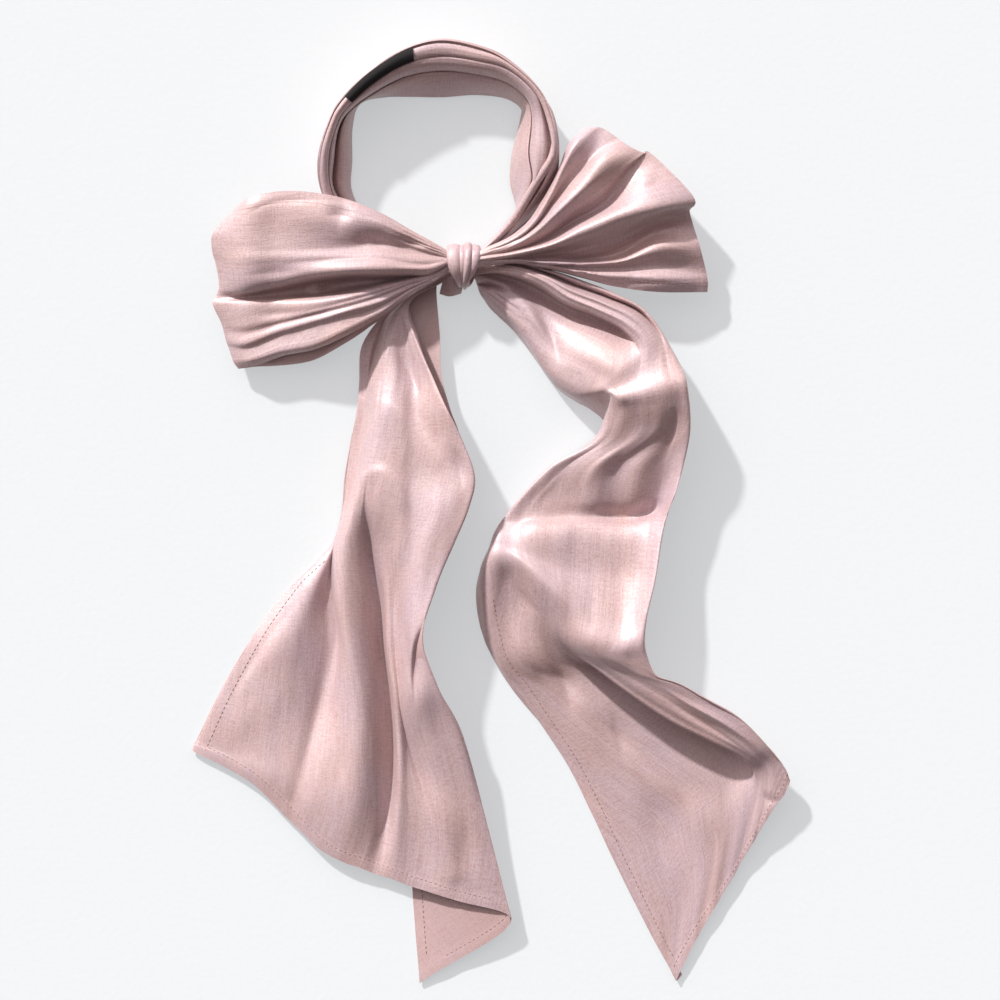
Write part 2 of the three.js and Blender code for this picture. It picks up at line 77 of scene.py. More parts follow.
def curveThrough(points, at=None):
    # a smooth curve through points, by distance along it unless the stations are given
    points = np.asarray(points, float)
    if at is None:
        steps = np.linalg.norm(np.diff(points, axis=0), axis=1)
        at = np.concatenate([[0], np.cumsum(steps)]) / steps.sum()
    at = np.asarray(at, float)
    gaps = np.diff(at)
    secants = np.diff(points, axis=0) / gaps[:, None]
    slopes = np.empty_like(points)
    slopes[0], slopes[-1] = secants[0], secants[-1]
    before, after = gaps[:-1, None], gaps[1:, None]
    slopes[1:-1] = (secants[:-1] * after + secants[1:] * before) / (before + after)

    def curve(t):
        t = np.asarray(t, float)
        i = np.clip(np.searchsorted(at, t, side="right") - 1, 0, len(gaps) - 1)
        h = gaps[i][:, None]
        s = np.clip((t - at[i]) / gaps[i], 0, 1)[:, None]
        fromPoints = (1 + 2 * s) * (1 - s) ** 2 * points[i] + s * s * (3 - 2 * s) * points[i + 1]
        return fromPoints + s * (1 - s) ** 2 * h * slopes[i] + s * s * (s - 1) * h * slopes[i + 1]

    return curve


foldShape = {
    "steps": 24,                # straight runs that a path is measured by
    "valleySharpness": 1.35,    # 2 is round, 1 is a crease
    "ridgeSharpness": 1.7,
    "reach": 3.4,               # beyond so many half widths a fold lifts nothing
    "sideBlend": 1.2,           # millimetres over which one half width passes into the other
    "fadedWidth": 0.45,         # share of its width that a fold keeps where it has faded
    "zoneFade": 0.05,           # how softly the folds stop at the turned-under edges
}


def foldLift(folds, xy):
    # each fold is a ridge or a valley along a path seen from above: the path, its rise, its half width on the
    # left-hand and right-hand side, and how far it fades and narrows at its start and at its end
    lift = np.zeros(len(xy))
    for path, rise, left, right, start, end in folds:
        track = curveThrough(path)(np.linspace(0, 1, foldShape["steps"] + 1))
        sharp = foldShape["valleySharpness"] if rise < 0 else foldShape["ridgeSharpness"]
        reach = foldShape["reach"] * max(left, right)
        near = np.flatnonzero(((xy > track.min(0) - reach) & (xy < track.max(0) + reach)).all(1))
        spots = xy[near]
        nearest = np.full(len(spots), np.inf)
        side = np.zeros(len(spots))
        along = np.zeros(len(spots))
        for i in range(len(track) - 1):
            run = track[i + 1] - track[i]
            length = math.hypot(*run)
            t = np.clip((spots - track[i]) @ run / length ** 2, 0, 1)
            off = spots - track[i] - t[:, None] * run
            distance = np.hypot(off[:, 0], off[:, 1])
            closer = distance < nearest
            nearest = np.where(closer, distance, nearest)
            side = np.where(closer, (off[:, 0] * run[1] - off[:, 1] * run[0]) / length, side)
            along = np.where(closer, (i + t) / (len(track) - 1), along)
        fade = (ease(along * 2) * start + 1 - start) * (ease((1 - along) * 2) * end + 1 - end)
        share = ease(side / foldShape["sideBlend"] * 0.5 + 0.5)
        narrowed = foldShape["fadedWidth"] + (1 - foldShape["fadedWidth"]) * fade
        width = (left + (right - left) * share) * narrowed
        lift[near] += rise * np.exp(-((nearest / width) ** sharp)) * fade
    return lift


def stationsOf(sections):
    # where each section lies along the cloth, by the mean run of its rails
    steps = np.linalg.norm(np.diff(sections, axis=0), axis=2).mean(1)
    return np.concatenate([[0], np.cumsum(steps)]) / steps.sum()


def sheetPoints(piece, us, vs, folded=True):
    # points of a sheet: rails run along it, folds are pressed into the zone between its turned-under edges
    at = [rail[1] for rail in piece["rails"]]
    sections = np.asarray(piece["sections"], float)
    stations = stationsOf(sections)
    rails = np.stack([curveThrough(sections[:, k], stations)(us) for k in range(len(at))])
    points = curveThrough(rails.reshape(len(at), -1), at)(vs).reshape(len(vs), len(us), 3).transpose(1, 0, 2)
    if folded and piece.get("folds"):
        low, high = piece.get("foldZone", (0, 1))
        outside = np.maximum(np.maximum(low - vs, vs - high), 0)
        inZone = ease(1 - outside / foldShape["zoneFade"])
        lift = foldLift(piece["folds"], points[..., :2].reshape(-1, 2)).reshape(len(us), len(vs))
        points[..., 2] += lift * inZone
    points[..., 2] = np.maximum(points[..., 2], drawing["rest"])
    return points


def normalsOf(points, ring=False):
    alongU = np.empty_like(points)
    alongU[1:-1] = points[2:] - points[:-2]
    alongU[0], alongU[-1] = points[1] - points[0], points[-1] - points[-2]
    if ring:
        alongV = np.roll(points, -1, 1) - np.roll(points, 1, 1)
    else:
        alongV = np.empty_like(points)
        alongV[:, 1:-1] = points[:, 2:] - points[:, :-2]
        alongV[:, 0], alongV[:, -1] = points[:, 1] - points[:, 0], points[:, -1] - points[:, -2]
    normal = np.cross(alongU, alongV)
    return normal / np.maximum(np.linalg.norm(normal, axis=2, keepdims=True), 1e-9)


def lengthsAlong(points, axis):
    steps = np.linalg.norm(np.diff(points, axis=axis), axis=2)
    whole = np.cumsum(steps, axis=axis)
    return np.concatenate([np.zeros_like(np.take(whole, [0], axis)), whole], axis)


def placeOnCloth(points):
    # distance across the cloth from its middle, and distance along it
    across = lengthsAlong(points, 1)
    middle = points.shape[1] // 2
    return across - across[:, middle][:, None], lengthsAlong(points, 0).mean(1)[:, None]


def smoothNoise(x, y, seed):
    # smooth random height from -1 to 1, one hill to a unit
    hills = 64      # then it repeats
    grid = np.random.default_rng(seed).uniform(-1, 1, (hills, hills))
    i, j = np.floor(x).astype(int), np.floor(y).astype(int)
    s, t = x - i, y - j
    s = s ** 3 * (s * (s * 6 - 15) + 10)
    t = t ** 3 * (t * (t * 6 - 15) + 10)
    a, b = grid[i % hills, j % hills], grid[(i + 1) % hills, j % hills]
    c, d = grid[i % hills, (j + 1) % hills], grid[(i + 1) % hills, (j + 1) % hills]
    return (a + (b - a) * s) * (1 - t) + (c + (d - c) * s) * t


crumples = {
    "layers": [     # length of one hill across and along the cloth, and its height
        (26, 75, 0.9),
        (11, 50, 0.36),
        (4.6, 32, 0.1),
        (2.3, 12, 0.02),
    ],
    "offset": (13.7, 5.1),      # hills from one layer to the next, so that they don't line up
}


def crumple(points, seed, amount=1.0):
    # the small unevenness of thin cloth, drawn out along its length
    across, along = placeOnCloth(points)
    x, y = crumples["offset"]
    height = np.zeros(across.shape)
    for k, (wide, long, high) in enumerate(crumples["layers"]):
        height += high * smoothNoise(across / wide + x * k, along / long + y * k, seed + k)
    return points + normalsOf(points) * (height * amount)[..., None]


def calmNear(values, folds, width):
    # no crumples right at a fold, where two plies meet
    calm = np.ones_like(values)
    for fold in folds:
        calm = calm * (1 - np.exp(-(((values - fold) / width) ** 2)))
    return calm


gatherShape = {
    "wander": 0.5,          # how far a pleat strays from its place, in pleats
    "wanderLength": 30,     # length of one such turn
    "wanderCount": 0.7,     # and how many turns there are to a pleat
    "bluntness": 0.8,       # 1 is a sine wave, less has flatter tops
    "evenness": 0.6,        # mean height of the pleats
    "unevenness": 0.5,      # how far their height varies, in the same way
    "unevenLength": 40,
    "unevenCount": 0.5,
    "unevenSeed": 9,        # added to the seed of the pleats
}


def gathers(points, vs, pleats):
    # fine pleats that rise out of the knot up to near, fan out and have died away at far
    shape, seed = gatherShape, pleats["seed"]
    along = placeOnCloth(points)[1]
    across = vs[None, :] * pleats["count"]
    wander = smoothNoise(along / shape["wanderLength"], across * shape["wanderCount"], seed)
    wave = np.sin(2 * math.pi * (across + wander * shape["wander"]))
    wave = np.sign(wave) * np.abs(wave) ** shape["bluntness"]
    size = ease(along / pleats["near"]) * (1 - ease(along / pleats["far"])) * pleats["height"]
    place = across * shape["unevenCount"], along / shape["unevenLength"]
    uneven = shape["evenness"] + shape["unevenness"] * smoothNoise(*place, seed + shape["unevenSeed"])
    return points + normalsOf(points) * (wave * size * uneven)[..., None]


def walledCloth(points, thickness, ring=False):
    # the closed wall round a sheet of points: vertices, faces, each vertex's place on the cloth, and its side
    nu, nv = points.shape[:2]
    normal = normalsOf(points, ring)
    half = np.broadcast_to(np.asarray(thickness, float), (nu, nv))[..., None] / 2
    top, bottom = points + normal * half, points - normal * half
    vertices = np.concatenate([top.reshape(-1, 3), bottom.reshape(-1, 3)])
    vertices[:, 2] = np.maximum(vertices[:, 2], drawing["lowest"])
    place = np.stack(np.broadcast_arrays(*placeOnCloth(points)), 2).reshape(-1, 2)
    place = np.concatenate([place, place])
    columns = nv if ring else nv - 1
    i, j = np.meshgrid(np.arange(nu - 1), np.arange(columns), indexing="ij")
    i, j = i.ravel(), j.ravel()
    k = (j + 1) % nv
    a, b, c, d = i * nv + j, (i + 1) * nv + j, (i + 1) * nv + k, i * nv + k
    layer = nu * nv
    faces = [np.stack([a, b, c, d], 1), np.stack([a, d, c, b], 1) + layer]
    sides = [0] * len(a) + [1] * len(a)

    def rim(path):
        faces.append(np.stack([path[:-1], path[:-1] + layer, path[1:] + layer, path[1:]], 1))
        sides.extend([0] * (len(path) - 1))

    first = np.arange(nv + (1 if ring else 0)) % nv
    rim(first[::-1])
    rim(first + (nu - 1) * nv)
    if not ring:
        edge = np.arange(nu) * nv
        rim(edge)
        rim((edge + nv - 1)[::-1])
    return vertices, np.concatenate(faces), place, np.array(sides)


def makePiece(name, parts, materials):
    # one object from one or more walled cloths, in metres in the frame
    vertices, faces, places, sides = [], [], [], []
    count = 0
    for part in parts:
        vertices.append(part[0])
        faces.append(part[1] + count)
        places.append(part[2])
        sides.append(part[3])
        count += len(part[0])
    vertices = (np.concatenate(vertices) + np.array(drawing["shift"])) / 1000
    faces, places, sides = np.concatenate(faces), np.concatenate(places), np.concatenate(sides)
    mesh = bpy.data.meshes.new(name)
    mesh.vertices.add(len(vertices))
    mesh.vertices.foreach_set("co", vertices.astype(np.float32).ravel())
    mesh.loops.add(faces.size)
    mesh.loops.foreach_set("vertex_index", faces.astype(np.int32).ravel())
    mesh.polygons.add(len(faces))
    mesh.polygons.foreach_set("loop_start", np.arange(0, faces.size, 4, dtype=np.int32))
    for material in materials:
        mesh.materials.append(material)
    mesh.polygons.foreach_set("material_index", np.minimum(sides, len(materials) - 1).astype(np.int32))
    mesh.update(calc_edges=True)
    cloth = mesh.uv_layers.new(name="cloth")
    cloth.uv.foreach_set("vector", (places[faces.ravel()] / 10).astype(np.float32).ravel())  # in centimetres
    mesh.validate()
    mesh.shade_smooth()
    mesh.set_sharp_from_angle(angle=math.radians(drawing["sharpAngle"]))
    piece = bpy.data.objects.new(name, mesh)
    scene.collection.objects.link(piece)
    return piece


def dress(piece, node):
    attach(piece, "root")
    if node:
        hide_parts(node)


# Materials

class Wire:
    # a socket in a node tree: sums written with it add Math nodes
    def __init__(self, tree, socket):
        self.tree = tree
        self.socket = socket

    def maths(self, operation, a, b):
        return addNode(self.tree, "ShaderNodeMath", {"operation": operation}, {0: a, 1: b})

    def __add__(self, other):
        return self.maths("ADD", self, other)

    def __radd__(self, other):
        return self.maths("ADD", other, self)

    def __sub__(self, other):
        return self.maths("SUBTRACT", self, other)

    def __rsub__(self, other):
        return self.maths("SUBTRACT", other, self)

    def __mul__(self, other):
        return self.maths("MULTIPLY", self, other)

    def __rmul__(self, other):
        return self.maths("MULTIPLY", other, self)


def addNode(tree, kind, settings=None, values=None, out=0):
    # settings first, then the values or links of its sockets
    node = tree.nodes.new(kind)
    for key, value in (settings or {}).items():
        setattr(node, key, value)
    setSockets(tree, node, values or {})
    return Wire(tree, node.outputs[out])


def setSockets(tree, node, values):
    # a wire is linked to its socket, and a plain value is set on it
    for key, value in values.items():
        if isinstance(value, Wire):
            tree.links.new(value.socket, node.inputs[key])
        else:
            node.inputs[key].default_value = value


def mixColours(tree, factor, a, b):
    # the Mix node takes colours in its sockets 6 and 7 and gives them out at 2
    settings = {"data_type": "RGBA", "blend_type": "MIX", "clamp_factor": True}
    return addNode(tree, "ShaderNodeMix", settings, {0: factor, 6: a, 7: b}, 2)


def bumpFrom(tree, height, depth):
    # depth is what a height of 1 stands for, in millimetres
    return addNode(tree, "ShaderNodeBump", {}, {"Strength": 1.0, "Distance": depth / 1000, "Height": height})


def newMaterial(name, color):
    # the colour is the plain one of the solid view
    material = bpy.data.materials.new(name)
    material.use_nodes = True
    material.diffuse_color = (*color[:3], 1)
    return material, material.node_tree, material.node_tree.nodes["Principled BSDF"]


def noiseOn(tree, noise):
    # noise on the cloth: hills to a centimetre across and along it, how many finer layers, and their strength
    across, along, detail, roughness = noise
    place = addNode(tree, "ShaderNodeUVMap", {"uv_map": "cloth"})
    place = addNode(tree, "ShaderNodeMapping", {}, {"Vector": place, "Scale": (across, along, 1)})
    values = {"Vector": place, "Scale": 1.0, "Detail": detail, "Roughness": roughness}
    return addNode(tree, "ShaderNodeTexNoise", {}, values)


satinLook = {
    "warm": (0.55, 0.378, 0.357, 1),    # cloth turned to the light
    "cool": (0.505, 0.381, 0.42, 1),    # mauve cast of the other thread
    "deep": (0.25, 0.09, 0.08, 1),      # slubs and thread shadows
    "wrongSide": (0.43, 0.27, 0.255, 1),
    "wrongShare": 0.6,                  # how much of it the wrong side takes
    "wrongRoughness": 0.12,             # what the wrong side adds to the roughness
    "roughness": 0.6,
    "roughSpread": 0.16,
    "speckRoughness": 3,                # how much more the specks change it than the threads do
    "ior": 1.5,
    "specular": 1.0,
    "metallic": 0.06,
    "sheen": 0.1,
    "sheenRoughness": 0.5,
    "sheenTint": (1.0, 0.95, 0.94, 1),
    "glint": 0.65,                      # the sharper gloss of the long threads
    "glintSpread": 2.6,
    "glintRoughness": 0.36,
    "warp": 0.13,                       # heights of the threads in millimetres: along the cloth,
    "streak": 0.06,                     # the thick ones among them,
    "weft": 0.05,                       # across it,
    "grain": 0.05,                      # and the unevenness of both
    "warpNoise": (26, 2.4, 1, 0.5),
    "streakNoise": (8, 0.5, 2, 0.5),
    "weftNoise": (1.8, 9, 2, 0.5),
    "grainNoise": (22, 17, 1, 0.5),
    "speckNoise": (12, 9, 2, 0.8),
    "cloudNoise": (0.3, 0.14, 3, 0.5),  # slow change of tone
    "toneOfCloud": 2.8,                 # tone from warm to cool
    "toneOfWarp": 1.2,
    "toneMiddle": 0.45,
    "markOfThreads": 0.6,               # marks in the deep colour
    "markOfSpecks": 1.5,
    "markMiddle": 0.22,
}


def makeSatin(name, wrongSide=False):
    look = satinLook
    material, tree, shader = newMaterial(name, look["warm"])
    warp = noiseOn(tree, look["warpNoise"])
    streak = noiseOn(tree, look["streakNoise"])
    weft = noiseOn(tree, look["weftNoise"])
    grain = noiseOn(tree, look["grainNoise"])
    speck = noiseOn(tree, look["speckNoise"])
    cloud = noiseOn(tree, look["cloudNoise"])
    tone = (cloud - 0.5) * look["toneOfCloud"] + (warp - 0.5) * look["toneOfWarp"] + look["toneMiddle"]
    base = mixColours(tree, tone, look["warm"], look["cool"])
    threads = (streak - 0.5) * look["markOfThreads"] + (weft - 0.5) * look["markOfThreads"]
    marks = threads + (speck - 0.5) * look["markOfSpecks"] + look["markMiddle"]
    base = mixColours(tree, marks, base, look["deep"])
    speckSpread = (speck - 0.5) * look["roughSpread"] * look["speckRoughness"]
    rough = look["roughness"] + speckSpread + (weft - 0.5) * look["roughSpread"]
    if wrongSide:
        base = mixColours(tree, look["wrongShare"], base, look["wrongSide"])
        rough = rough + look["wrongRoughness"]
    height = warp * look["warp"] + streak * look["streak"] + weft * look["weft"] + grain * look["grain"]
    setSockets(tree, shader, {
        "Base Color": base,
        "Roughness": rough,
        "Normal": bumpFrom(tree, height, 1.0),
        "IOR": look["ior"],
        "Metallic": look["metallic"],
        "Specular IOR Level": look["specular"],
        "Coat Weight": (speck - 0.5) * look["glintSpread"] + look["glint"],
        "Coat Roughness": look["glintRoughness"],
        "Sheen Weight": look["sheen"],
        "Sheen Roughness": look["sheenRoughness"],
        "Sheen Tint": look["sheenTint"],
    })
    return material


threadLook = {
    "plain": (0.3, 0.16, 0.15),
    "light": (0.39, 0.24, 0.225, 1),
    "dark": (0.26, 0.15, 0.14, 1),
    "twist": 900.0,         # hills of the twist over the whole seam
    "roughness": 0.5,
    "roughSpread": 0.2,
}


def makeThread():
    look = threadLook
    material, tree, shader = newMaterial("thread", look["plain"])
    twist = addNode(tree, "ShaderNodeTexNoise", {}, {"Scale": look["twist"], "Detail": 2.0})
    setSockets(tree, shader, {
        "Base Color": mixColours(tree, twist, look["light"], look["dark"]),
        "Roughness": look["roughness"] + twist * look["roughSpread"],
    })
    return material


labelLook = {
    "plain": (0.015, 0.014, 0.014),
    "dark": (0.009, 0.008, 0.009, 1),
    "light": (0.032, 0.028, 0.028, 1),
    "ribNoise": (2.0, 26, 2, 0.5),
    "fleckNoise": (30, 12, 2, 0.5),
    "fleckSpread": 1.5,     # flecks in the light colour
    "fleckMiddle": 0.4,
    "roughness": 0.8,
    "roughSpread": 0.3,
    "ribs": 0.1,            # height of the ribs in millimetres
    "flecks": 0.6,          # height of the flecks beside theirs
    "specular": 0.15,
}


def makeLabelCloth():
    look = labelLook
    material, tree, shader = newMaterial("labelCloth", look["plain"])
    ribs = noiseOn(tree, look["ribNoise"])
    fleck = noiseOn(tree, look["fleckNoise"])
    lightness = (fleck - 0.5) * look["fleckSpread"] + look["fleckMiddle"]
    setSockets(tree, shader, {
        "Base Color": mixColours(tree, lightness, look["dark"], look["light"]),
        "Roughness": look["roughness"] + (ribs - 0.5) * look["roughSpread"],
        "Normal": bumpFrom(tree, ribs + fleck * look["flecks"], look["ribs"]),
        "Specular IOR Level": look["specular"],
    })
    return material


satin = makeSatin("satin")
satinBack = makeSatin("satinBack", True)
threadCloth = makeThread()
labelCloth = makeLabelCloth()
print("materials made")


# Hems and stitches

hem = {
    "width": 6.2,           # from the edge to the stitches
    "thickness": 0.5,       # what the turned edge adds to the wall
    "step": 0.9,            # over which the thickness rises
    "groove": 0.35,         # how deep the stitches pull it in, as a share of the thickness
    "grooveInside": 0.4,    # from the stitches towards the edge
    "grooveWidth": 0.8,
}


def hemThickness(points, edges):
    # wall thickness with a turned hem along the named edges: last is the short end, low and high the sides
    alongU, alongV = lengthsAlong(points, 0), lengthsAlong(points, 1)
    distance = np.full(points.shape[:2], np.inf)
    if "last" in edges:
        distance = np.minimum(distance, alongU[-1][None, :] - alongU)
    if "low" in edges:
        distance = np.minimum(distance, alongV)
    if "high" in edges:
        distance = np.minimum(distance, alongV[:, -1][:, None] - alongV)
    turned = ease((hem["width"] + hem["step"] - distance) / hem["step"])
    fromGroove = (distance - hem["width"] + hem["grooveInside"]) / hem["grooveWidth"]
    pulled = np.exp(-(fromGroove ** 2)) * hem["groove"]
    return drawing["wall"] + hem["thickness"] * np.clip(turned - pulled, 0, 1)


stitching = {
    "start": 0.6,           # from the end of the seam to the first stitch
    "length": 2.1,
    "gap": 0.95,
    "radius": 0.24,
    "endRadius": 0.35,      # as a share of the radius
    "sink": 0.05,
    "bow": 0.2,             # how far a stitch bows up between its ends
    "rings": 7,
    "sides": 6,
}


def stitchParts(lines):
    # short rounded stitches on the cloth, along lines of points with the cloth's normals
    share = np.linspace(0, 1, stitching["rings"])
    bow = np.sin(share * math.pi)
    slim = stitching["endRadius"]
    radius = stitching["radius"] * (slim + (1 - slim) * np.sqrt(bow))
    angle = np.arange(stitching["sides"]) / stitching["sides"] * 2 * math.pi
    parts = []
    for points, normals in lines:
        points = points + normals * drawing["wall"] / 2
        steps = np.concatenate([[0], np.cumsum(np.linalg.norm(np.diff(points, axis=0), axis=1))])
        place = curveThrough(np.concatenate([points, normals], 1), steps / steps[-1])
        pitch = stitching["length"] + stitching["gap"]
        for start in np.arange(stitching["start"], steps[-1] - stitching["length"], pitch):
            found = place((start + share * stitching["length"]) / steps[-1])
            up = found[:, 3:] / np.linalg.norm(found[:, 3:], axis=1, keepdims=True)
            run = found[-1, :3] - found[0, :3]
            run = run / np.linalg.norm(run)
            side = np.cross(up, run)
            middle = found[:, :3] + up * (bow * stitching["bow"] - stitching["sink"])[:, None]
            ring = (
                middle[:, None]
                + side[:, None] * (np.cos(angle)[None, :] * radius[:, None])[..., None]
                + up[:, None] * (np.sin(angle)[None, :] * radius[:, None])[..., None]
            )
            parts.append(tubePart(ring))
    return parts


def tubePart(ring):
    # a closed tube from rings of points, with its ends drawn shut
    count, sides = ring.shape[:2]
    ends = np.stack([ring[0].mean(0), ring[-1].mean(0)])
    vertices = np.concatenate([ring.reshape(-1, 3), ends])
    i, j = np.meshgrid(np.arange(count - 1), np.arange(sides), indexing="ij")
    i, j = i.ravel(), j.ravel()
    k = (j + 1) % sides
    wall = np.stack([i * sides + j, (i + 1) * sides + j, (i + 1) * sides + k, i * sides + k], 1)[:, ::-1]
    j = np.arange(0, sides, 2)
    first, last = np.full(len(j), count * sides), np.full(len(j), count * sides + 1)
    cap = np.stack([j, (j + 1) % sides, (j + 2) % sides], 1)
    firstCap = np.column_stack([first, cap])[:, ::-1]
    lastCap = np.column_stack([last, cap + (count - 1) * sides])
    place = np.zeros((len(vertices), 2))
    faces = np.concatenate([wall, firstCap, lastCap])
    return vertices, faces, place, np.zeros(len(faces), int)


def lineInside(points, rows, start, offset, top=1):
    # a line on the cloth through the given rows, at a distance from column start; top -1 is the other side
    normal = normalsOf(points) * top
    lengths = lengthsAlong(points, 1)
    found, ups = [], []
    for i in rows:
        target = lengths[i, start] + offset
        found.append([np.interp(target, lengths[i], points[i, :, k]) for k in range(3)])
        ups.append([np.interp(target, lengths[i], normal[i, :, k]) for k in range(3)])
    return np.array(found), np.array(ups)


def lineFromEnd(points, columns, offset, top=1):
    # the same through the given columns, at a distance from the last row; turning the sheet turns its normals
    return lineInside(points.transpose(1, 0, 2), columns, -1, -offset, -top)


def makeStitches(name, lines):
    stitches = makePiece(name, stitchParts(lines), [threadCloth])
    dress(stitches, None)
    return stitches


# Tails: each runs from the knot down to its hem
tailShape = {
    "calm": 0.03,           # share of the width without crumples at a folded edge
    "sideClear": 3,         # cells between the stitches of the side and the hem's edge
    "endClear": (5, 2),     # and between the stitches of the end and the folded edges
    "turnedClear": (4, 6),  # the same on the corner folded under
}

